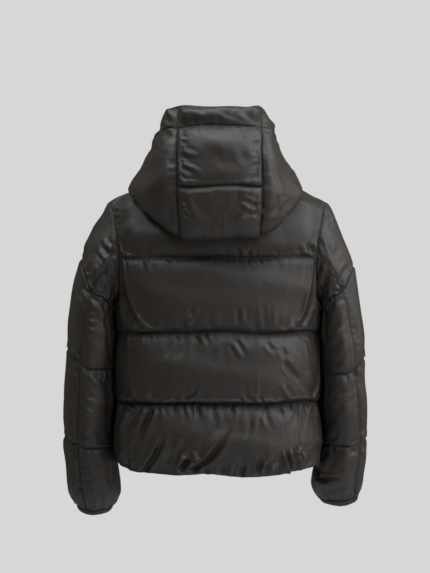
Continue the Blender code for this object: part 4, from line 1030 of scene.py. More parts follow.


# Folds given one by one: width and depth in mm, the shares of the line over which the fold fades in and
# out, then the line's points as seen from behind, in mm. A negative depth is a ridge.
foldTables = {
    "back": (
        (3.5, -2, 0, 0.9, (152, -166), (146, -187), (139, -204)), (3.5, 1.6, 0, 0.8, (104, -166), (87, -185)),
        (3, 1, 0.1, 0.8, (27, -166), (31, -179)), (3, 1.2, 0.1, 0.8, (8, -166), (10, -181)),
        (3, 1.2, 0.1, 0.8, (-17, -166), (-21, -183)), (3, 1, 0.1, 0.8, (-42, -166), (-44, -179)),
        (3, 1.3, 0.1, 0.8, (-60, -168), (-71, -187)), (3, 1.2, 0.1, 0.8, (-83, -164), (-94, -181)),
        (4, 1.4, 0.9, 0.1, (-8, -141), (-19, -162)), (4, 1.6, 0.9, 0.1, (-35, -139), (-46, -162)),
        (4, -1.6, 0.9, 0.1, (-44, -137), (-54, -162)), (4, 1.6, 0.9, 0.1, (-73, -139), (-62, -162)),
        (4, 1.4, 0.9, 0.1, (-85, -141), (-77, -162)), (4, 1.2, 0.9, 0.1, (-119, -141), (-123, -160)),
        (5, -2, 0.8, 0.1, (-171, -135), (-183, -160)), (5, 2.4, 0.7, 0.1, (-185, -131), (-198, -160)),
        (4.5, -2.4, 0.6, 0.1, (-196, -129), (-210, -162)), (4, 2.2, 0.5, 0.3, (-216, -125), (-202, -175)),
        (4, 1.6, 0.5, 0.3, (-193, -154), (-208, -191)), (5, -1.5, 0.7, 0.2, (183, -125), (196, -158)),
        (5, 1.4, 0.7, 0.2, (137, -125), (150, -160)), (3, 1.6, 0.2, 0.7, (214, -71), (200, -75)),
        (3, 1.8, 0.2, 0.7, (214, -81), (202, -87)), (3, 1.6, 0.2, 0.7, (212, -92), (198, -100)),
        (8, -2.2, 0.5, 0.6, (168, -67), (183, -98), (196, -125)),
        (5, -2.4, 0.8, 0.1, (156, -277), (168, -295), (177, -318)),
        (5, 1.8, 0.8, 0.1, (112, -279), (114, -316)),
        (4.5, 2.6, 0.8, 0.3, (46, -252), (52, -270), (60, -291)),
        (5, -2, 0.7, 0.1, (40, -270), (56, -291), (64, -312)), (5, 1.6, 0.8, 0.1, (27, -287), (8, -312)),
        (4.5, 2, 0.9, 0.1, (-37, -258), (-42, -279), (-44, -308)),
        (4.5, -1.6, 0.9, 0.1, (-52, -262), (-48, -300)),
        (4.5, 1.8, 0.9, 0.1, (-92, -254), (-96, -283), (-98, -314)),
        (5, -1.6, 0.9, 0.1, (-119, -260), (-116, -308)),
        (4.5, 1.8, 0.8, 0.1, (-156, -270), (-146, -291), (-137, -316)),
        (4.5, 2, 0.8, 0.1, (-152, -287), (-164, -308), (-173, -318)),
        (4.5, 1.8, 0.8, 0.1, (-183, -279), (-198, -314)),
        (7, -1.6, 0.7, 0.5, (-8, -262), (4, -291), (8, -316)), (6, 1.2, 0.7, 0.3, (87, -275), (77, -316)),
        (3.4, 4.2, 0, 0.7, (28, -322), (23, -339), (18, -354)), (4, -3, 0.1, 0.8, (35, -329), (27, -352)),
        (4, 1.8, 0.1, 0.8, (48, -327), (37, -352)), (4.5, 2.2, 0.1, 0.8, (81, -329), (98, -352), (110, -383)),
        (3.5, 1.4, 0.1, 0.8, (69, -324), (77, -343)),
        (4.5, -2.6, 0.2, 0.7, (-15, -335), (-2, -352), (15, -364)),
        (4, -2.4, 0.2, 0.8, (-27, -339), (-40, -356), (-54, -379)),
        (4, 1.8, 0.2, 0.8, (-37, -337), (-48, -354), (-64, -379)),
        (4, 2.2, 0.2, 0.6, (-100, -341), (-110, -358), (-127, -368)),
        (5, 2.2, 0.3, 0.5, (-135, -379), (-156, -404), (-177, -428)),
        (5, -2, 0.3, 0.5, (-139, -370), (-166, -399), (-185, -426)),
        (5, 1.6, 0.3, 0.5, (-129, -354), (-146, -379)),
        (3.5, 2.4, 0, 0.7, (-168, -327), (-185, -339), (-200, -347)),
        (3, 2.6, 0, 0.6, (-189, -327), (-198, -341)), (4, 1.2, 0.1, 0.8, (-79, -329), (-77, -349)),
        (4, 1.2, 0.1, 0.8, (-58, -329), (-62, -347)), (4, 1.4, 0.1, 0.8, (137, -333), (144, -354)),
        (4, 1.2, 0.1, 0.8, (10, -327), (8, -345)), (4, 3.2, 0.6, 0.1, (40, -428), (52, -447), (71, -464)),
        (5, -2.2, 0.8, 0.1, (62, -431), (71, -445), (87, -464)),
        (3.5, 2.6, 0.6, 0.1, (104, -456), (125, -468)), (4, 2, 0.7, 0.1, (127, -441), (148, -470)),
        (4, -2, 0.7, 0.1, (137, -445), (156, -472)), (4, 2, 0.7, 0.1, (156, -431), (171, -453), (181, -474)),
        (4.5, -2, 0.7, 0.1, (166, -428), (181, -453), (193, -476)),
        (4, 1.8, 0.6, 0.2, (189, -458), (202, -483)), (3, 2.6, 0.3, 0.1, (-42, -456), (-52, -466)),
        (3.2, 2.2, 0.5, 0.1, (-58, -456), (-79, -466)), (3, 2, 0.4, 0.1, (-85, -453), (-94, -468)),
        (5, -2.4, 0.7, 0.2, (-123, -422), (-139, -443), (-154, -466)),
        (4, 1.6, 0.7, 0.2, (-137, -426), (-162, -462)), (4, 1.8, 0.6, 0.2, (-193, -426), (-206, -453)),
        (5, -1.6, 0.6, 0.3, (-164, -420), (-191, -458), (-208, -487)),
        (5, 4.4, 0.05, 0.5, (137, -478), (152, -508), (166, -545), (179, -578)),
        (5, -2, 0.1, 0.6, (150, -478), (166, -512), (179, -545)),
        (5, 2.6, 0.1, 0.6, (168, -485), (189, -512), (202, -545)),
        (4.5, -2.4, 0.2, 0.6, (185, -485), (202, -512), (210, -545)),
        (3.2, 2.6, 0, 0.8, (73, -476), (71, -501)), (3.2, 2.4, 0, 0.8, (56, -476), (54, -501)),
        (3.2, 2.6, 0, 0.8, (42, -476), (42, -503)), (3.2, 1.8, 0, 0.8, (23, -476), (25, -497)),
        (3.5, 1.4, 0, 0.8, (92, -476), (96, -499)), (3.2, 3.2, 0, 0.7, (-31, -472), (-27, -493)),
        (4.5, 2.2, 0, 0.8, (-96, -474), (-102, -499), (-112, -532)),
        (5, -1.6, 0.2, 0.8, (-83, -478), (-75, -508), (-60, -541)),
        (4, 1.6, 0.2, 0.8, (-73, -503), (-62, -532), (-52, -553)),
        (3.4, 2, 0, 0.7, (-150, -474), (-156, -497)), (3.4, 1.8, 0, 0.8, (-164, -476), (-168, -508)),
        (4, 2, 0, 0.7, (-183, -474), (-198, -499)), (4, 1.8, 0, 0.8, (12, -478), (10, -512)),
        (4, -1.6, 0, 0.8, (-2, -476), (-6, -524)), (4, 1.5, 0.1, 0.8, (-48, -478), (-42, -512)),
        (4, 1.4, 0.1, 0.8, (-129, -478), (-135, -512)),
        (4.6, 4.8, 0.6, 0, (114, -528), (121, -555), (133, -582), (154, -609)),
        (6, -2.6, 0.6, 0.1, (100, -537), (106, -562), (121, -589)),
        (4.6, 4.8, 0.6, 0, (-31, -514), (-10, -551), (15, -580), (50, -609)),
        (6, -2.4, 0.6, 0.1, (-17, -512), (6, -545), (29, -572)), (4.2, 4.6, 0.3, 0, (58, -580), (77, -605)),
        (4.5, -3, 0.3, 0.2, (69, -574), (83, -593)), (4.5, -2.6, 0.4, 0.2, (54, -564), (44, -587)),
        (4.5, 1.8, 0.6, 0.5, (58, -551), (79, -564), (92, -578)),
        (5, -1.6, 0.6, 0.5, (71, -539), (89, -560), (104, -580)),
        (3.6, 3.2, 0.4, 0, (-144, -562), (-148, -587), (-156, -614)),
        (3.6, -2.8, 0.4, 0, (-135, -566), (-139, -591), (-148, -616)),
        (3.6, 3, 0.4, 0, (-166, -562), (-162, -582), (-164, -609)),
        (3.6, -2.8, 0.4, 0.1, (-177, -557), (-168, -578)), (4.5, -2.4, 0.4, 0.2, (-185, -570), (-177, -599)),
        (3.8, 2.4, 0.4, 0, (-92, -584), (-81, -609)), (4.5, -2.8, 0.4, 0.2, (-100, -584), (-87, -609)),
        (4, -2.6, 0.4, 0.1, (-131, -593), (-108, -609)), (3.8, 2.2, 0.5, 0, (-54, -591), (-46, -616)),
        (3.8, 2, 0.5, 0, (-12, -595), (-4, -616)), (4, -1.8, 0.5, 0, (-29, -591), (-25, -616)),
        (4, 1.8, 0.5, 0, (21, -597), (29, -616)), (4, 2.2, 0.5, 0, (187, -576), (191, -603)),
        (5, -2.2, 0.5, 0.2, (206, -562), (204, -591)),
    ),
    "sleeve_left": (
        (3.6, -3.8, 0.4, 0.2, (239, -119), (233, -137), (216, -153)),
        (3.6, -4, 0.3, 0.3, (250, -144), (241, -162), (227, -179)),
        (4, -2, 0.1, 0.8, (227, -179), (216, -206)), (4, 2.6, 0.5, 0.2, (231, -166), (210, -154)),
        (5, -3, 0.5, 0.2, (283, -164), (279, -200), (266, -233)),
        (5, 2.2, 0.5, 0.2, (272, -171), (264, -220)), (5.5, -2, 0.5, 0.2, (258, -171), (252, -216)),
        (3.4, -3.2, 0.1, 0.4, (272, -223), (258, -233)), (3, 1.8, 0.2, 0.6, (256, -198), (237, -204)),
        (3, 1.6, 0.2, 0.6, (256, -210), (239, -214)), (3, 2.4, 0.2, 0.4, (235, -193), (231, -210)),
        (3, 1.6, 0.2, 0.6, (252, -227), (237, -220)),
        (4.4, 4.2, 0.1, 0.6, (262, -250), (239, -262), (225, -283), (210, -310)),
        (5, -3.2, 0.1, 0.5, (254, -248), (231, -260), (216, -279)),
        (5, -2, 0.3, 0.6, (260, -264), (239, -279), (225, -308)), (4, -3, 0.1, 0.6, (281, -231), (270, -260)),
        (4, 2.4, 0.1, 0.7, (272, -231), (264, -260)), (3, 1.8, 0.3, 0.5, (270, -277), (252, -277)),
        (3, 1.8, 0.3, 0.5, (270, -291), (250, -291)), (3, 1.6, 0.3, 0.5, (272, -308), (254, -310)),
        (3, 1.6, 0.3, 0.5, (275, -324), (256, -329)), (3.2, -1.6, 0.3, 0.6, (250, -283), (237, -295)),
        (5, -1.5, 0.5, 0.5, (266, -345), (241, -362)), (4, -3.2, 0.4, 0.4, (314, -354), (295, -383)),
        (4, -2.6, 0.4, 0.4, (297, -385), (281, -416)), (4, 2.4, 0.4, 0.4, (306, -352), (289, -379)),
        (4.5, -2, 0.4, 0.5, (312, -391), (300, -428)),
        (4.2, -3.4, 0.2, 0.5, (272, -406), (252, -424), (229, -447)),
        (4.2, 3.2, 0.2, 0.5, (264, -404), (239, -422), (220, -441)),
        (3, 1.8, 0.3, 0.5, (283, -431), (268, -433)), (3, 1.8, 0.3, 0.5, (285, -443), (266, -445)),
        (3, 1.8, 0.3, 0.5, (287, -456), (266, -458)), (3.4, -1.8, 0.3, 0.6, (277, -460), (239, -478)),
        (3.4, 1.6, 0.3, 0.6, (281, -472), (250, -487)), (3.4, -1.8, 0.3, 0.6, (283, -483), (252, -497)),
        (3.4, 1.8, 0.3, 0.6, (283, -495), (262, -505)), (3.4, 1.6, 0.3, 0.6, (308, -478), (289, -485)),
        (3.4, 1.6, 0.3, 0.6, (308, -495), (289, -499)),
        (5, -3, 0.3, 0.3, (320, -478), (314, -508), (302, -528)),
        (4.2, 3.6, 0.4, 0.3, (310, -512), (289, -530), (275, -541), (252, -551)),
        (5, -2.2, 0.3, 0.5, (281, -520), (250, -537)),
        (4, -3.6, 0.1, 0.4, (322, -535), (304, -547), (291, -570), (285, -591)),
        (4, 3, 0.1, 0.5, (320, -547), (306, -562), (295, -587)),
        (4.4, -2.2, 0.2, 0.6, (279, -570), (245, -582)), (3.6, 2.2, 0.2, 0.6, (283, -576), (262, -591)),
        (2.8, 2, 0.3, 0.5, (300, -597), (283, -601)), (2.8, 2, 0.3, 0.5, (300, -612), (281, -614)),
        (2.8, 2, 0.3, 0.5, (297, -628), (279, -630)), (2.8, 2, 0.3, 0.5, (297, -645), (279, -647)),
        (2.8, 1.8, 0.3, 0.6, (279, -599), (262, -593)), (2.8, 1.8, 0.3, 0.6, (279, -616), (262, -609)),
        (2.8, 1.8, 0.3, 0.6, (277, -632), (260, -628)), (4, 2.2, 0.5, 0.1, (297, -653), (287, -680)),
        (4, -2.4, 0.5, 0.2, (270, -645), (250, -670)), (4, 2.4, 0.5, 0.1, (260, -653), (266, -686)),
        (4, 2.2, 0.5, 0.1, (243, -657), (243, -688)), (4, -2, 0.5, 0.1, (304, -636), (295, -670)),
        (4, 2, 0.5, 0.1, (227, -655), (225, -684)), (4, 2.2, 0.5, 0.1, (281, -657), (275, -686)),
    ),
    "sleeve_right": (
        (3.6, -3, 0.2, 0.6, (-235, -75), (-239, -100)), (3.4, 2.4, 0.2, 0.5, (-229, -92), (-235, -112)),
        (4.5, -1.8, 0.5, 0.4, (-245, -129), (-233, -162)), (4.5, 1.8, 0.5, 0.4, (-254, -137), (-241, -166)),
        (3.6, 3.4, 0.3, 0.4, (-216, -171), (-208, -196)),
        (4.5, -2.4, 0.4, 0.5, (-229, -171), (-216, -196), (-208, -225)),
        (4.5, 1.8, 0.4, 0.5, (-237, -187), (-223, -212), (-212, -237)),
        (4.5, -1.8, 0.4, 0.5, (-243, -202), (-227, -237)), (4, -2.4, 0.3, 0.2, (-239, -231), (-229, -250)),
        (4, 3.6, 0.3, 0.1, (-279, -173), (-262, -198), (-250, -220)),
        (3.6, -3.6, 0.3, 0.1, (-283, -191), (-268, -212), (-256, -229)),
        (3.4, 3, 0.3, 0.2, (-287, -187), (-266, -220)), (3.4, 4, 0.2, 0.2, (-243, -233), (-256, -237)),
        (3.4, -2.4, 0.1, 0.6, (-256, -237), (-260, -254)),
        (5, 2, 0.3, 0.6, (-245, -258), (-229, -275), (-214, -297)),
        (5, -1.8, 0.3, 0.6, (-256, -266), (-225, -300)),
        (5, 1.8, 0.4, 0.6, (-262, -291), (-239, -312), (-218, -341)),
        (5, -1.8, 0.4, 0.6, (-264, -308), (-233, -337)),
        (5, 1.6, 0.4, 0.5, (-262, -329), (-235, -352), (-216, -374)),
        (5, -1.5, 0.4, 0.5, (-268, -349), (-241, -374)),
        (4.5, -2.6, 0.3, 0.3, (-275, -383), (-250, -397), (-220, -406)),
        (4, 3.4, 0.1, 0.5, (-279, -395), (-287, -416)),
        (4, -2.4, 0.1, 0.6, (-287, -393), (-302, -404), (-308, -428)),
        (4.4, 1.8, 0.2, 0.7, (-264, -406), (-250, -428)),
        (5, 1.8, 0.4, 0.6, (-268, -433), (-248, -447), (-225, -470)),
        (5, -1.8, 0.4, 0.6, (-275, -447), (-250, -460), (-229, -478)),
        (4, 2.2, 0.1, 0.6, (-272, -399), (-264, -424)), (6, -1.6, 0.5, 0.5, (-275, -470), (-254, -503)),
        (5, 3, 0.5, 0.4, (-241, -497), (-220, -516), (-206, -528)),
        (4.6, -2.6, 0.4, 0.4, (-245, -526), (-229, -532), (-212, -545)),
        (4.2, 3, 0.5, 0.1, (-297, -535), (-283, -547), (-270, -555)),
        (4.4, -2.4, 0.4, 0.2, (-304, -528), (-300, -553)), (4.2, -3, 0.1, 0.5, (-300, -562), (-308, -578)),
        (4.4, 3, 0.2, 0.6, (-289, -564), (-272, -572), (-260, -587)),
        (4.4, 2.8, 0.2, 0.6, (-241, -564), (-225, -572), (-212, -576)),
        (4, -3.8, 0.3, 0.3, (-208, -580), (-229, -609)), (3.4, 4, 0.2, 0.3, (-198, -597), (-212, -616)),
        (3.4, -3, 0.3, 0.3, (-193, -609), (-206, -624)),
        (4, 5, 0.2, 0.3, (-198, -614), (-216, -624), (-239, -628), (-258, -630)),
        (5, -3, 0.3, 0.4, (-208, -636), (-237, -641), (-260, -639)),
        (5, -2.2, 0.3, 0.6, (-254, -620), (-279, -593)), (4.6, 2, 0.4, 0.5, (-270, -636), (-285, -607)),
        (3, 1.8, 0.3, 0.5, (-270, -603), (-289, -605)), (3, 1.8, 0.3, 0.5, (-270, -620), (-289, -622)),
        (4, 4, 0.4, 0.1, (-237, -674), (-258, -666), (-279, -659)),
        (3.6, -2.6, 0.2, 0.4, (-279, -657), (-293, -653)), (4, 2.2, 0.5, 0.1, (-208, -645), (-212, -670)),
        (4, 2, 0.5, 0.1, (-229, -649), (-231, -674)), (4, -2, 0.5, 0.1, (-198, -641), (-198, -666)),
        (4, 2.2, 0.5, 0.1, (-254, -645), (-250, -666)), (4, -2.2, 0.5, 0.2, (-264, -641), (-272, -657)),
    ),
    "hood": (
        (4.2, -3.4, 0.1, 0.6, (75, 58), (58, 52), (37, 44)), (3.6, 2.2, 0.1, 0.6, (75, 46), (54, 40)),
        (4.2, -3.6, 0.1, 0.6, (75, 31), (54, 21), (31, 8)), (3.4, 2.6, 0.1, 0.6, (75, 19), (50, 6)),
        (3.2, 3, 0.1, 0.5, (77, 4), (62, -12)), (3.2, -2.6, 0.1, 0.5, (75, -8), (58, -17)),
        (3.2, 2, 0.1, 0.6, (75, 73), (58, 71)), (3.2, 1.8, 0.1, 0.6, (75, 87), (60, 81)),
        (9, -1.8, 0.5, 0.5, (46, 92), (8, 75), (-29, 58)), (8, 1.6, 0.5, 0.5, (37, 58), (-8, 42), (-58, 54)),
        (9, -1.8, 0.5, 0.5, (25, 21), (-17, 12), (-62, 25)),
        (7, 1.6, 0.5, 0.4, (-37, 79), (-54, 46), (-75, 29)), (3.2, 2, 0.1, 0.6, (-85, 77), (-67, 71)),
        (3.2, 1.8, 0.1, 0.6, (-85, 54), (-64, 52)), (3.4, 2.2, 0.1, 0.6, (-85, 29), (-69, 21)),
        (3.4, 2.2, 0.1, 0.6, (-85, 6), (-64, -4)), (4, 2, 0.1, 0.7, (46, 102), (40, 85)),
        (4, 1.6, 0.1, 0.7, (15, 102), (12, 87)), (4, 1.6, 0.1, 0.7, (-21, 102), (-17, 87)),
        (4, 1.8, 0.1, 0.7, (-52, 102), (-46, 83)), (4.5, -2.6, 0.3, 0.2, (-25, -33), (-52, -27), (-79, -24)),
        (3.4, 2.2, 0.1, 0.6, (-46, -25), (-37, -44)), (3.4, 2, 0.1, 0.6, (-67, -25), (-60, -40)),
        (4, 2, 0.6, 0.1, (-37, -4), (-52, -19)), (3.8, 4.4, 0.1, 0.3, (-83, -58), (-67, -52), (-48, -42)),
        (4.2, -3.2, 0.2, 0.4, (-79, -71), (-60, -62), (-42, -50)),
        (4, 2.6, 0.1, 0.5, (-81, -77), (-62, -75), (-50, -85)), (4.2, -2.4, 0.1, 0.6, (-83, -89), (-67, -85)),
        (4, -2.6, 0.2, 0.3, (75, -66), (60, -79)), (3.4, 2.6, 0.2, 0.4, (73, -73), (62, -87)),
        (3.6, 2.6, 0.2, 0.3, (75, -104), (60, -110)), (3.4, -2, 0.1, 0.5, (75, -92), (56, -89)),
        (3.2, 1.8, 0.1, 0.6, (75, -46), (58, -52)), (8, -1.6, 0.5, 0.5, (46, -92), (4, -100), (-46, -96)),
        (9, 1.4, 0.5, 0.5, (46, -58), (8, -67), (-29, -58)),
        (3.8, 4, 0.1, 0.5, (-89, -50), (-96, -62), (-104, -79)),
        (4.4, -3, 0.2, 0.5, (-92, -92), (-108, -87), (-125, -73)),
        (4.6, 2.6, 0.2, 0.5, (-92, -75), (-110, -69), (-125, -56)),
        (4.2, 2, 0.1, 0.6, (-92, -17), (-110, -6)), (4.2, -2, 0.1, 0.6, (-92, 0), (-116, 12)),
        (4.2, 1.8, 0.1, 0.6, (-92, 21), (-112, 37)), (4.2, 1.6, 0.1, 0.6, (-92, 54), (-108, 64)),
        (3.4, 2.2, 0.1, 0.5, (-92, -112), (-108, -100)),
        (7, -2, 0.5, 0.5, (-112, 79), (-133, 37), (-154, -17)),
        (6, 1.6, 0.5, 0.5, (-104, 67), (-121, 25), (-137, -25)), (4, 2, 0.1, 0.7, (-100, 102), (-108, 81)),
        (4.5, 2, 0.5, 0.3, (-162, -37), (-141, -62), (-121, -83)),
        (3.8, 2.8, 0.1, 0.5, (83, 27), (96, 33), (108, 29)),
        (3.8, -2.6, 0.1, 0.5, (83, 15), (98, 21), (110, 15)), (4, 2.2, 0.1, 0.6, (83, -4), (104, -8)),
        (4, -2, 0.1, 0.6, (83, -21), (106, -27)), (4, 2, 0.1, 0.6, (83, -50), (102, -62)),
        (4, 1.8, 0.1, 0.6, (83, 58), (100, 67)), (4, 2, 0.1, 0.6, (83, 79), (102, 89)),
        (7, -2, 0.5, 0.5, (108, 83), (133, 46), (154, 4)),
        (6, 1.8, 0.5, 0.5, (96, 75), (116, 37), (137, -12)),
        (5, -1.6, 0.5, 0.5, (158, -21), (133, -58), (104, -87)), (3.6, 1.8, 0.1, 0.5, (83, -100), (100, -87)),
        (5, 2.4, 0.3, 0.5, (125, 104), (104, 92), (87, 67)),
        (4, 4.2, 0.1, 0.5, (114, 137), (108, 125), (96, 112)),
        (4.4, -3.4, 0.2, 0.4, (116, 121), (104, 108), (92, 106)),
        (6, -3, 0.4, 0.4, (87, 137), (58, 141), (25, 133)), (5, 3, 0.4, 0.4, (83, 112), (46, 119), (8, 110)),
        (3.4, 2.6, 0.1, 0.5, (52, 119), (44, 106)), (5.5, 2.6, 0.4, 0.4, (12, 146), (-17, 133), (-50, 129)),
        (4.4, -3.2, 0.3, 0.4, (-58, 152), (-75, 137), (-100, 127)),
        (4.4, 3, 0.3, 0.4, (-42, 146), (-67, 125), (-96, 110)),
        (4, -2.2, 0.3, 0.4, (-4, 121), (-37, 116), (-67, 108)), (3.6, 2, 0.2, 0.5, (-108, 123), (-92, 119)),
        (4.2, 2, 0.1, 0.6, (71, 152), (62, 133)), (4.2, 2.2, 0.1, 0.6, (29, 150), (33, 129)),
        (4.2, 2, 0.1, 0.6, (-29, 150), (-33, 133)),
    ),
}


# Panels as closed padded pieces

def refined(grid):
    # twice the rows and columns, through the same points
    for _ in range(2):
        before = np.concatenate((2 * grid[:1] - grid[1:2], grid[:-2]))
        after = np.concatenate((grid[2:], 2 * grid[-1:] - grid[-2:-1]))
        middle = (9 * (grid[:-1] + grid[1:]) - before - after) / 16
        whole = np.empty((2 * len(grid) - 1, *grid.shape[1:]))
        whole[::2], whole[1::2] = grid, middle
        grid = whole.swapaxes(0, 1)
    return grid


def loopOf(rows, columns):
    # border points in order, first row first
    index = np.arange(rows * columns).reshape(rows, columns)
    return np.concatenate((index[0, :-1], index[:-1, -1], index[-1, :0:-1], index[:0:-1, 0]))


def quads(rows, columns, first, isFlipped):
    index = np.arange(rows * columns).reshape(rows, columns) + first
    corners = (index[:-1, 1:], index[:-1, :-1], index[1:, :-1], index[1:, 1:])
    found = np.stack(corners, axis=-1).reshape(-1, 4)
    return (found[:, ::-1] if isFlipped else found).tolist()


panel = {"foldFade": 0.004, "leastWall": 0.0022, "sharpFrom": math.radians(75)}
# How much wider and deeper each region's folds are made
foldScale = {"back": (1.15, 1.15), "back_hem": (1.2, 1.7), "sleeve": (1.35, 0.85), "hood": (1.15, 0.75)}
# Width of the pressed, matt cloth beside the stitching, darkened with painted shade of the seam's groove, at
# each seam down the region
seamReach = {
    "back": (0.003, 0.0036, 0.0080, 0.0080, 0.004), "front": (0.003, 0.0036, 0.0080, 0.0080, 0.004),
    "sleeve": (0.0036, 0.0036, 0.0036, 0.0036, 0.003), "hood": (0.0024, 0.0024, 0.0024, 0.0024, 0.002),
}
# Waves through the whole cloth: radians a metre in X, Y and Z and a start, then the share that moves in Y
sway = {
    "size": 0.0011, "besideZip": (0.02, 0.03), "behind": (-0.10, 0.06),
    "waves": (((31, 17, 43, 0.3), 0), ((-22, 38, 57, 1.9), 0.6),
              ((47, -29, 71, 4.1), 0), ((13, 51, -88, 2.6), 0.6)),
}


# How the worn jacket leans out of its cut: middle x, z and reach x, z as seen from behind, then
# the shift in x and z, all in mm
nudges = (
    (250, -110, 35, 40, 1, 0), (279, -160, 35, 14, -3, 0), (312, -420, 45, 150, -5, 0),
    (316, -595, 45, 30, -3, 0), (-300, -250, 45, 60, 4, 0), (-308, -420, 45, 40, 4, 0),
    (104, 135, 16, 12, 3, 8), (-83, 141, 16, 13, -2, 8), (-120, 127, 15, 15, 9, 0),
    (-225, -75, 16, 40, -5, 0), (220, -56, 16, 18, 5, 0),
)


def settled(points, name):
    # small uneven shifts of the whole cloth, the sleeves resting against the body, and the lean
    moved = points.copy()
    x, y, z = points[..., 0], points[..., 1], points[..., 2]
    fromZip = easeFrom(np.abs(x), *sway["besideZip"]) * (y < 0) + (y >= 0)
    for (a, b, c, start), depthShare in sway["waves"]:
        wave = sway["size"] * np.sin(a * x + b * y + c * z + start) * fromZip
        moved[..., 1] += depthShare * wave
        moved[..., 2] += wave
    moved[..., 0] += contactShift(points, name)
    seen = seenFromBehind(points) * 1000
    behind = easeFrom(y, *sway["behind"])
    for middleX, middleZ, reachX, reachZ, shiftX, shiftZ in nudges:
        near = np.exp(-((seen[..., 0] - middleX) / reachX) ** 2 - ((seen[..., 1] - middleZ) / reachZ) ** 2)
        moved[..., 0] += shiftX / 1000 * near * behind
        moved[..., 2] += shiftZ / 1000 * near * behind
    return toOutline(moved) if name == "hood" else moved


# The lying hood's outline as seen from behind, in mm, round from its upper left to its upper right
hoodOutline = (
    (125, 112), (129, 96), (135, 79), (141, 62), (152, 46), (160, 29), (168, 12), (179, -4), (187, -21),
    (185, -35), (168, -54), (152, -72), (126, -93), (100, -113), (79, -127), (37, -130), (-4, -131),
    (-46, -129), (-85, -127), (-108, -113), (-134, -93), (-160, -67), (-179, -35), (-175, -21), (-168, -4),
    (-160, 12), (-152, 29), (-141, 46), (-131, 62), (-123, 79), (-116, 96), (-112, 112),
)
outline = {
    "centre": (0.004, 0.006), "bins": 61, "span": 135, "slice": 3.0,    # degrees from straight down
    "outer": (0.45, 0.5), "end": (131, 12), "behind": (-0.06, 0.08),
}


def aroundHood(seen):
    # angle from straight down, and distance
    x, z = seen[..., 0] - outline["centre"][0], seen[..., 1] - outline["centre"][1]
    return np.degrees(np.arctan2(x, -z)), np.hypot(x, z)


def hoodReach():
    # how far the hood's cloth goes in each direction, against the outline
    angle, far = aroundHood(seenFromBehind(refined(outers["hood"])))
    bins = np.linspace(-outline["span"], outline["span"], outline["bins"])
    found = np.array([far[np.abs(angle - middle) < outline["slice"]].max() for middle in bins])
    found = evenedLine(found, 3)
    lineAngle, lineFar = aroundHood(np.array(hoodOutline) / 1000)
    order = np.argsort(lineAngle)
    return bins, found, np.interp(bins, lineAngle[order], lineFar[order])


def toOutline(points):
    # draws the hood's cloth out or in, so that its edge follows the outline
    bins, found, wanted = hoodSpread
    seen = seenFromBehind(points)
    angle, far = aroundHood(seen)
    reach = np.interp(angle, bins, found)
    scale = np.interp(angle, bins, wanted / found) - 1
    end, endFade = outline["end"]
    share = easeFrom(far / reach, *outline["outer"]) * ease((end - np.abs(angle)) / endFade)
    share = share * easeFrom(points[..., 1], *outline["behind"])
    moved = points.copy()
    moved[..., 0] += (seen[..., 0] - outline["centre"][0]) * scale * share
    moved[..., 2] += (seen[..., 1] - outline["centre"][1]) * scale * share
    return moved


# Where the sleeves rest against the body
contact = {
    "top": -0.278, "bottom": -0.600, "topFade": 0.010, "bottomFade": 0.03, "margin": 0.005,
    "heights": 151, "slice": 0.0022, "smoothing": 7, "press": 0.0016,
    "sleeve": (0.31, 0.08), "body": (0.12, 0.07),       # metres out from the middle, and the fade
}


def evenedLine(values, window):
    return np.convolve(np.pad(values, window // 2, mode="edge"), np.ones(window) / window, mode="valid")


def reachOfSides():
    # at heights down each side: how far out the body goes and how far in the sleeve comes
    margin = contact["margin"]
    heights = np.linspace(contact["top"] + margin, contact["bottom"] - margin, contact["heights"])
    found = {}
    for side, sign in (("left", 1), ("right", -1)):
        body = np.vstack([seenFromBehind(refined(outers[name])).reshape(-1, 2)
                          for name in ("back", f"front_{side}")])
        sleeve = seenFromBehind(refined(outers[f"sleeve_{side}"])).reshape(-1, 2)
        rows = []
        for height in heights:
            ofBody = body[np.abs(body[:, 1] - height) < contact["slice"]]
            ofSleeve = sleeve[np.abs(sleeve[:, 1] - height) < contact["slice"]]
            outmost = (ofBody[:, 0] * sign).max() if len(ofBody) else rows[-1][0]
            rows.append((outmost, (ofSleeve[:, 0] * sign).min()))
        found[side] = (heights[::-1], np.array(rows)[::-1])
    return found


def contactShift(points, name):
    # closes the gap between body and sleeve from both sides, a few millimetres each
    seen = seenFromBehind(points)
    shift = np.zeros(points.shape[:-1])
    for side, sign in (("left", 1), ("right", -1)):
        heights, rows = sideReach[side]
        out, z = seen[..., 0] * sign, seen[..., 1]
        plane = np.interp(z, heights, contactPlane[side])
        active = ease((contact["top"] - z) / contact["topFade"])
        active = active * easeFrom(z, contact["bottom"], contact["bottomFade"])
        if name == f"sleeve_{side}":
            short = plane - contact["press"] - np.interp(z, heights, rows[:, 1])
            farthest, fade = contact["sleeve"]
            shift += sign * active * short * ease((farthest - out) / fade)
        elif not name.startswith(("sleeve", "hood")):
            short = plane + contact["press"] - np.interp(z, heights, rows[:, 0])
            shift += sign * active * short * easeFrom(out, *contact["body"])
    return shift


hoodSpread = hoodReach()
sideReach = reachOfSides()
contactPlane = {side: evenedLine(rows.mean(axis=1), contact["smoothing"])
                for side, (heights, rows) in sideReach.items()}
print("sleeves laid against the body")


def layCloth(mesh, spots, atSeam=None):
    # the cloth's own map in metres, and how near the stitching each point is: there the cloth is matt and
    # darkened with painted seam shade
    corners = np.empty(len(mesh.loops), int)
    mesh.loops.foreach_get("vertex_index", corners)
    mesh.uv_layers.new(name="cloth").data.foreach_set("uv", spots.reshape(-1, 2)[corners].ravel())
    if atSeam is not None:
        mesh.attributes.new("atSeam", "FLOAT", "POINT").data.foreach_set("value", atSeam)


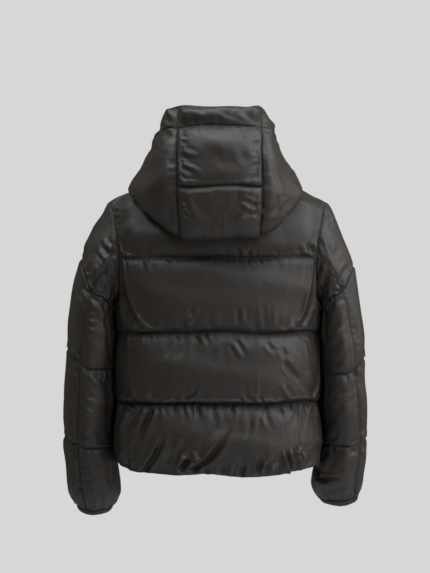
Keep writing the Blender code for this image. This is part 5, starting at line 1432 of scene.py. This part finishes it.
def linkPiece(name, vertices, faces, *materials):
    mesh = bpy.data.meshes.new(name)
    mesh.from_pydata(np.asarray(vertices).reshape(-1, 3).tolist(), [], faces)
    for material in materials:
        mesh.materials.append(material)
    piece = bpy.data.objects.new(name, mesh)
    bpy.context.scene.collection.objects.link(piece)
    return piece


def spotsOf(grid):
    return np.stack((arcs(grid, 1), arcs(grid, 0)), axis=-1).reshape(-1, 2)


def folded(nodeName, region, inner, outer, aim, away):
    # the outer cloth with the region's listed folds in it
    height = np.sum((outer - refined(inner)) * aim, axis=2)
    widen, deepen = foldScale.get(nodeName, foldScale[region.split("_")[0]])
    table = [(width * widen, depth * deepen, *rest) for width, depth, *rest in foldTables[region]]
    lift = handFolds(outer, aim, table) * ease(away / panel["foldFade"])
    return outer + aim * np.maximum(lift, np.minimum(panel["leastWall"] - height, 0))[..., None]


def edgeWall(outerShape, innerShape, count):
    # five-sided faces round the border, where the outer cloth has twice the points
    outerLoop, innerLoop = loopOf(*outerShape), loopOf(*innerShape) + count
    faces = []
    for k in range(len(innerLoop)):
        a, b = innerLoop[k], innerLoop[(k + 1) % len(innerLoop)]
        edge = [outerLoop[(2 * k + step) % len(outerLoop)] for step in range(3)]
        faces.append([int(v) for v in (a, b, *edge[::-1])])
    return faces


def paddedPiece(nodeName, region, rows, picks):
    # one panel: outer cloth, lining and the wall between them, from the region's rows and columns
    span = slice(rows[0], rows[1] + 1)
    inner, outer = grids[region][span][:, picks], refined(outers[region][span][:, picks])
    aim = refined(directions[region][span][:, picks])
    away = refined(seamDistance[region][span][:, picks])
    if region in foldTables:
        outer = folded(nodeName, region, inner, outer, aim, away)
    inner, outer = settled(inner, region), settled(outer, region)
    outerShape, innerShape = outer.shape[:2], inner.shape[:2]
    count = outerShape[0] * outerShape[1]
    outerFaces, liningFaces = quads(*outerShape, 0, True), quads(*innerShape, count, False)
    wallFaces = edgeWall(outerShape, innerShape, count)
    piece = linkPiece(nodeName + "_padded", np.vstack((outer.reshape(-1, 3), inner.reshape(-1, 3))),
                      outerFaces + liningFaces + wallFaces, shell, lining)
    mesh = piece.data
    materialOf = np.repeat((0, 1, 0), (len(outerFaces), len(liningFaces), len(wallFaces)))
    mesh.polygons.foreach_set("material_index", materialOf)
    mesh.shade_smooth()
    mesh.set_sharp_from_angle(angle=panel["sharpFrom"])
    kind = region.split("_")[0]
    reach = np.interp(np.linspace(*rows, len(away)), stopsOf(kind), seamReach[kind])
    # share of matt cloth and painted seam shade, fading out from the stitching
    pressed = np.exp(-(away / reach[:, None]) ** 2).ravel()
    layCloth(mesh, np.vstack((spotsOf(outer), spotsOf(inner))),
             np.concatenate((pressed, np.zeros(innerShape[0] * innerShape[1]))))
    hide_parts(nodeName)
    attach(piece, "jacket")


def sewPanels():
    for region in ("back", "front_left", "front_right"):
        columns = list(range(grids[region].shape[1]))
        for k, tier in enumerate(bodyTiers):
            paddedPiece(f"{region}_{tier}", region, bodyStops[k:k + 2], columns)
    for side in ("left", "right"):
        region = f"sleeve_{side}"
        total = grids[region].shape[1]
        start = sleeveStart(side)
        for k, tier in enumerate(sleeveTiers):
            for half, first, count in (("upper", start, upperCells),
                                       ("under", start + upperCells, underCells)):
                picks = [(first + j) % total for j in range(count + 1)]
                paddedPiece(f"{region}_{half}_{tier}", region, sleeveStops[k:k + 2], picks)
    first, last = hoodSeams()
    end = grids["hood"].shape[1] - 1
    for k, tier in enumerate(hoodTiers):
        paddedPiece(f"hood_centre_{tier}", "hood", hoodStops[k:k + 2], list(range(first, last + 1)))
    spans = {"left": (0, first), "back": (first, last), "right": (last, end)}
    for side, (a, b) in spans.items():
        picks = list(range(a, b + 1))
        if side != "back":
            paddedPiece(f"hood_side_{side}", "hood", (0, hoodStops[3]), picks)
        paddedPiece(f"hood_band_{side}", "hood", hoodStops[3:5], picks)


sewPanels()
print("panels sewn")


# Cuffs, gathered on elastic

cuff = {
    "length": 0.013, "taper": 0.76, "bulge": 0.0016, "edge": 0.0016,
    "gathers": 13, "depth": 0.0016, "leastWall": 0.0008, "unevenness": ((0.16, 3, 1), (0.10, 7, 0)),
    "rows": (0.0, 0.06, 0.16, 0.3, 0.45, 0.6, 0.75, 0.88, 0.96, 1.0), "liningRows": (0.97, 0.5, 0.0),
    "clothSize": (0.24, 0.04), "pressedRows": 2,
}


def around(loop):
    # four points for each one of a closed loop
    for _ in range(2):
        before, after, beyond = (np.roll(loop, shift, axis=0) for shift in (1, -1, -2))
        middle = (9 * (loop + after) - before - beyond) / 16
        loop = np.stack((loop, middle), axis=1).reshape(-1, 3)
    return loop


def gatherCuff(side):
    region = f"sleeve_{side}"
    inner, direction = around(grids[region][-1]), around(directions[region][-1])
    middle, count = inner.mean(axis=0), len(inner)
    turn = np.linspace(0, 2 * np.pi, count, endpoint=False)
    uneven = turn
    for size, waves, start in cuff["unevenness"]:
        uneven = uneven + size * np.sin(waves * turn + start)
    gathers = cuff["depth"] * (np.abs(np.sin(cuff["gathers"] * uneven)) ** 0.6 - 0.7)

    def base(share):
        row = middle + (inner - middle) * (1 - (1 - cuff["taper"]) * share)
        return row - np.array((0, 0, cuff["length"] * share))

    rows = []
    for share in cuff["rows"]:
        height = wall["seam"] + cuff["bulge"] * math.sin(math.pi * share) ** 0.6
        height = height * (1 - share ** 6) + cuff["edge"] * share ** 6
        lift = height + gathers * math.sin(math.pi * min(share * 0.9 + 0.02, 1)) ** 0.5
        rows.append(base(share) + direction * np.maximum(lift, cuff["leastWall"])[:, None])
    rows += [base(share) for share in cuff["liningRows"]]
    rows = settled(np.array(rows), region)
    faces = []
    for i in range(len(rows)):
        below = (i + 1) % len(rows)
        for j in range(count):
            k = (j + 1) % count
            faces.append((below * count + k, below * count + j, i * count + j, i * count + k))
    piece = linkPiece(f"cuff_{side}_gathered", rows, faces, shell)
    piece.data.shade_smooth()
    along = np.linspace(0, cuff["clothSize"][0], count)
    over = np.linspace(0, cuff["clothSize"][1], len(rows))
    # the rows sewn to the sleeve get the matt cloth and the painted seam shade
    atSeam = np.zeros(rows.shape[:2])
    atSeam[:cuff["pressedRows"]] = 1
    layCloth(piece.data, np.stack(np.meshgrid(along, over), axis=-1), atSeam.ravel())
    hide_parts(f"cuff_{side}")
    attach(piece, "jacket")


for side in ("left", "right"):
    gatherCuff(side)
print("cuffs gathered")


# Zip: tapes, teeth, and the metal parts with their edges broken

zipCut = {
    "bottom": -0.5960, "teethBottom": -0.5870, "teethTop": 0.0543, "top": 0.082,
    "tapeInner": 0.0033, "tapeOuter": 0.0112, "tapeHalf": 0.0004, "tapeStep": 0.004, "bead": 0.0007,
    "beadFrom": 0.0004, "beadTo": 0.0012, "flatFrom": 0.0016, "edgeTurn": 0.0003,
    "pitch": 0.0030, "tooth": (0.0040, 0.0015, 0.0013), "toothRound": 0.00035, "toothReach": 0.0029,
    "chainGap": 0.001, "edgeRound": 0.00022,
}
sharpAngles = {"tape": math.radians(50), "metal": math.radians(40), "flat": math.radians(2)}


def zipLine():
    # the zip's middle in Y and Z, hem to rim
    def edgeLine(region, column):
        return (grids[region][:, column] + directions[region][:, column] * wall["seam"] / 2)[:, 1:]

    return np.vstack((edgeLine("front_left", -1)[::-1], edgeLine("hood", 0)[1:]))


def zipPlaces(low, high, step):
    # points a step apart along the zip, and the way out of the jacket at each
    line = zipLine()
    heights = np.linspace(low, high, 800)
    points = np.stack((np.interp(heights, line[:, 1], line[:, 0]), heights), axis=1)
    run = np.concatenate(([0], np.cumsum(np.linalg.norm(np.diff(points, axis=0), axis=1))))
    at = np.arange(0, run[-1], step)
    places = np.stack([np.interp(at, run, points[:, k]) for k in (0, 1)], axis=1)
    along = np.gradient(places, axis=0)
    along /= np.linalg.norm(along, axis=1, keepdims=True)
    return places, along, np.stack((-along[:, 1], along[:, 0]), axis=1)


def makeTapeLook():
    look = Look("woven zip tape", (0.018, 0.018, 0.019), 0.8, **{"Specular IOR Level": 0.3})
    rib = look.threads((700.0, 2400.0, 1.0))
    cloud = look.noise(look.place(), 40.0, 2.0)
    look.feed(Base_Color=look.mix(rib, (0.011, 0.011, 0.012, 1), (0.026, 0.026, 0.027, 1)),
              Roughness=0.72 + 0.14 * cloud, Normal=look.bump(rib, 0.5, 0.00015))
    return look.material


def makeMetalLook():
    look = Look("gunmetal", (0.16, 0.16, 0.17), 0.32, Metallic=1.0)
    place = look.place()
    smear = look.noise(place, 300.0, 3.0, 0.6)
    fine = look.noise(place, 2500.0, 2.0)
    look.feed(Base_Color=look.mix(smear, (0.13, 0.13, 0.14, 1), (0.20, 0.20, 0.21, 1)),
              Roughness=0.26 + 0.16 * smear, Normal=look.bump(fine, 0.15, 0.00005))
    return look.material


tapeLook, metalLook = makeTapeLook(), makeMetalLook()


def weaveTape(side):
    # flat tape with a beaded inner edge
    sign = 1 if side == "left" else -1
    places, along, out = zipPlaces(zipCut["bottom"], zipCut["top"], zipCut["tapeStep"])
    half, bead, turned = zipCut["tapeHalf"], zipCut["bead"], zipCut["edgeTurn"]
    inner, outer = zipCut["tapeInner"], zipCut["tapeOuter"]
    front = [(outer, half * 0.6), (outer - turned, half), ((inner + outer) / 2, half),
             (inner + zipCut["flatFrom"], half), (inner + zipCut["beadTo"], bead),
             (inner + zipCut["beadFrom"], bead), (inner, turned)]
    behind = [(x, -lift) for x, lift in front[::-1]]
    section = behind[-1:] + front + behind[:-1]
    vertices = [(sign * x, y + outY * lift, z + outZ * lift)
                for (y, z), (outY, outZ) in zip(places, out) for x, lift in section]
    ring, last = len(section), len(places) - 1
    faces = [tuple(range(ring)) if sign > 0 else tuple(range(ring))[::-1]]
    ends = tuple(last * ring + k for k in range(ring))
    faces.append(ends[::-1] if sign > 0 else ends)
    for i in range(last):
        for k in range(ring):
            a, b = i * ring + k, i * ring + (k + 1) % ring
            faces.append((a, a + ring, b + ring, b) if sign > 0 else (b, b + ring, a + ring, a))
    piece = linkPiece(f"zip_tape_{side}_woven", vertices, faces, tapeLook)
    piece.data.shade_smooth()
    piece.data.set_sharp_from_angle(angle=sharpAngles["tape"])
    run = np.arange(len(places)) * zipCut["tapeStep"]
    layCloth(piece.data, np.stack(np.meshgrid(np.array(section)[:, 0], run), axis=-1))
    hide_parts(f"zip_tape_{side}")
    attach(piece, "jacket")


def fillChain():
    # one tooth, rounded, then a copy for each place, on the two tapes in turn
    bpy.ops.object.select_all(action="DESELECT")
    bpy.ops.mesh.primitive_cube_add(size=1)
    tooth = bpy.context.object
    tooth.scale = zipCut["tooth"]
    bpy.ops.object.transform_apply(location=False, rotation=False, scale=True)
    bevel = tooth.modifiers.new("round", "BEVEL")
    bevel.width, bevel.segments = zipCut["toothRound"], 1
    bpy.ops.object.modifier_apply(modifier="round")
    shape = np.array([vertex.co[:] for vertex in tooth.data.vertices])
    pattern = [tuple(polygon.vertices) for polygon in tooth.data.polygons]
    bpy.data.objects.remove(tooth)
    places, along, out = zipPlaces(zipCut["teethBottom"] + zipCut["chainGap"],
                                   zipCut["teethTop"] - zipCut["chainGap"], zipCut["pitch"] / 2)
    vertices, faces = [], []
    for k, ((y, z), (alongY, alongZ), (outY, outZ)) in enumerate(zip(places, along, out)):
        middle = (zipCut["toothReach"] - zipCut["tooth"][0] / 2) * (1 if k % 2 else -1)
        faces += [tuple(v + len(vertices) * len(shape) for v in face[::-1]) for face in pattern]
        vertices.append(np.stack((shape[:, 0] + middle, y + shape[:, 1] * outY + shape[:, 2] * alongY,
                                  z + shape[:, 1] * outZ + shape[:, 2] * alongZ), axis=1))
    piece = linkPiece("zip_teeth", vertices, faces, metalLook)
    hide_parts("zip_chain")
    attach(piece, "jacket")


def breakEdges(nodeName, name, body):
    # the metal part with its edges rounded
    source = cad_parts[nodeName]
    piece = bpy.data.objects.new(name, source.data.copy())
    piece.matrix_world = source.matrix_world
    bpy.context.scene.collection.objects.link(piece)
    bpy.ops.object.select_all(action="DESELECT")
    bpy.context.view_layer.objects.active = piece
    piece.select_set(True)
    bpy.ops.object.mode_set(mode="EDIT")
    bpy.ops.mesh.select_all(action="SELECT")
    bpy.ops.mesh.remove_doubles(threshold=1e-6)
    bpy.ops.mesh.dissolve_limited(angle_limit=sharpAngles["flat"])
    bpy.ops.object.mode_set(mode="OBJECT")
    bevel = piece.modifiers.new("edges", "BEVEL")
    bevel.width, bevel.segments, bevel.limit_method = zipCut["edgeRound"], 2, "ANGLE"
    bevel.angle_limit = sharpAngles["metal"]
    bpy.ops.object.modifier_apply(modifier="edges")
    bpy.ops.object.shade_smooth_by_angle(angle=sharpAngles["metal"])
    piece.data.materials.clear()
    piece.data.materials.append(metalLook)
    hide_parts(nodeName)
    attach(piece, body)


for side in ("left", "right"):
    weaveTape(side)
    breakEdges(f"zip_top_stop_{side}", f"top_stop_{side}", "jacket")
fillChain()
breakEdges("zip_slider", "slider", "jacket")
breakEdges("zip_bottom_box", "bottom_box", "jacket")
breakEdges("zip_pull", "pull_tab", "zip_pull")
print("zip fitted")


# Floor, light and air

studio = {
    "floorZ": -1.42, "floorRadius": 4.0, "floorColour": (0.55, 0.55, 0.55), "lightsAim": (0, 0.1, -0.3),
    "air": (0.108, 0.084, 0.054, 1), "backdrop": (0.679, 0.679, 0.679, 1),
}
#   name         place             size        power  colour
lights = (
    ("top", (0.1, 0.35, 2.3), (3.2, 1.7), 66.0, (0.90, 0.94, 1.0)),
    ("topBack", (0.0, 2.0, 2.6), (2.0, 1.0), 7.5, (0.93, 0.94, 1.0)),
    ("topLeft", (2.0, 0.3, 1.9), (1.2, 1.2), 6.0, (0.75, 0.89, 1.0)),
    ("topRight", (-2.0, 0.3, 1.9), (1.2, 1.2), 22.5, (0.85, 0.94, 1.0)),
    ("behindLeft", (1.2, 2.4, 1.9), (0.8, 0.8), 23.0, (0.92, 0.95, 1.0)),
    ("behindRight", (-1.6, 3.0, 1.2), (1.2, 1.2), 23.5, (0.92, 0.96, 1.0)),
    ("right", (-2.6, 1.2, 0.9), (1.2, 2.0), 34.0, (0.90, 0.94, 1.0)),
    ("rightLow", (-2.6, 1.4, -0.3), (1.2, 1.2), 11.5, (1.0, 0.88, 0.80)),
    ("rimLeft", (2.4, -0.8, 0.4), (1.2, 2.4), 3.0, (0.95, 1.0, 0.92)),
    ("rimRight", (-2.4, -0.8, 0.4), (1.2, 2.4), 12.8, (1.0, 0.97, 0.96)),
)


def addLight(name, place, size, power, colour):
    light = bpy.data.lights.new(name, "AREA")
    light.shape = "RECTANGLE"
    light.size, light.size_y = size
    light.energy = power
    light.color = colour
    holder = bpy.data.objects.new(name, light)
    holder.location = place
    aim = Vector(studio["lightsAim"]) - Vector(place)
    holder.rotation_euler = aim.to_track_quat("-Z", "Y").to_euler()
    bpy.context.scene.collection.objects.link(holder)


def buildStudio():
    scene = bpy.context.scene
    bpy.ops.object.select_all(action="DESELECT")
    bpy.ops.mesh.primitive_circle_add(vertices=96, radius=studio["floorRadius"], fill_type="NGON",
                                      location=(0, 0, studio["floorZ"]))
    floor = bpy.context.object
    floor.name = "floor"
    floor.data.materials.append(Look("pale floor", studio["floorColour"], 0.8).material)
    for light in lights:
        addLight(*light)
    world = bpy.data.worlds.new("air")
    scene.world = world
    world.use_nodes = True
    tree = world.node_tree
    # one colour lights the scene, another is seen behind it
    background = tree.nodes["Background"]
    background.inputs["Color"].default_value = studio["air"]
    seen = tree.nodes.new("ShaderNodeBackground")
    seen.inputs["Color"].default_value = studio["backdrop"]
    path = tree.nodes.new("ShaderNodeLightPath")
    mixer = tree.nodes.new("ShaderNodeMixShader")
    tree.links.new(path.outputs["Is Camera Ray"], mixer.inputs[0])
    tree.links.new(background.outputs[0], mixer.inputs[1])
    tree.links.new(seen.outputs[0], mixer.inputs[2])
    tree.links.new(mixer.outputs[0], tree.nodes["World Output"].inputs["Surface"])
    scene.view_settings.view_transform = "Standard"


buildStudio()
print("studio lit")
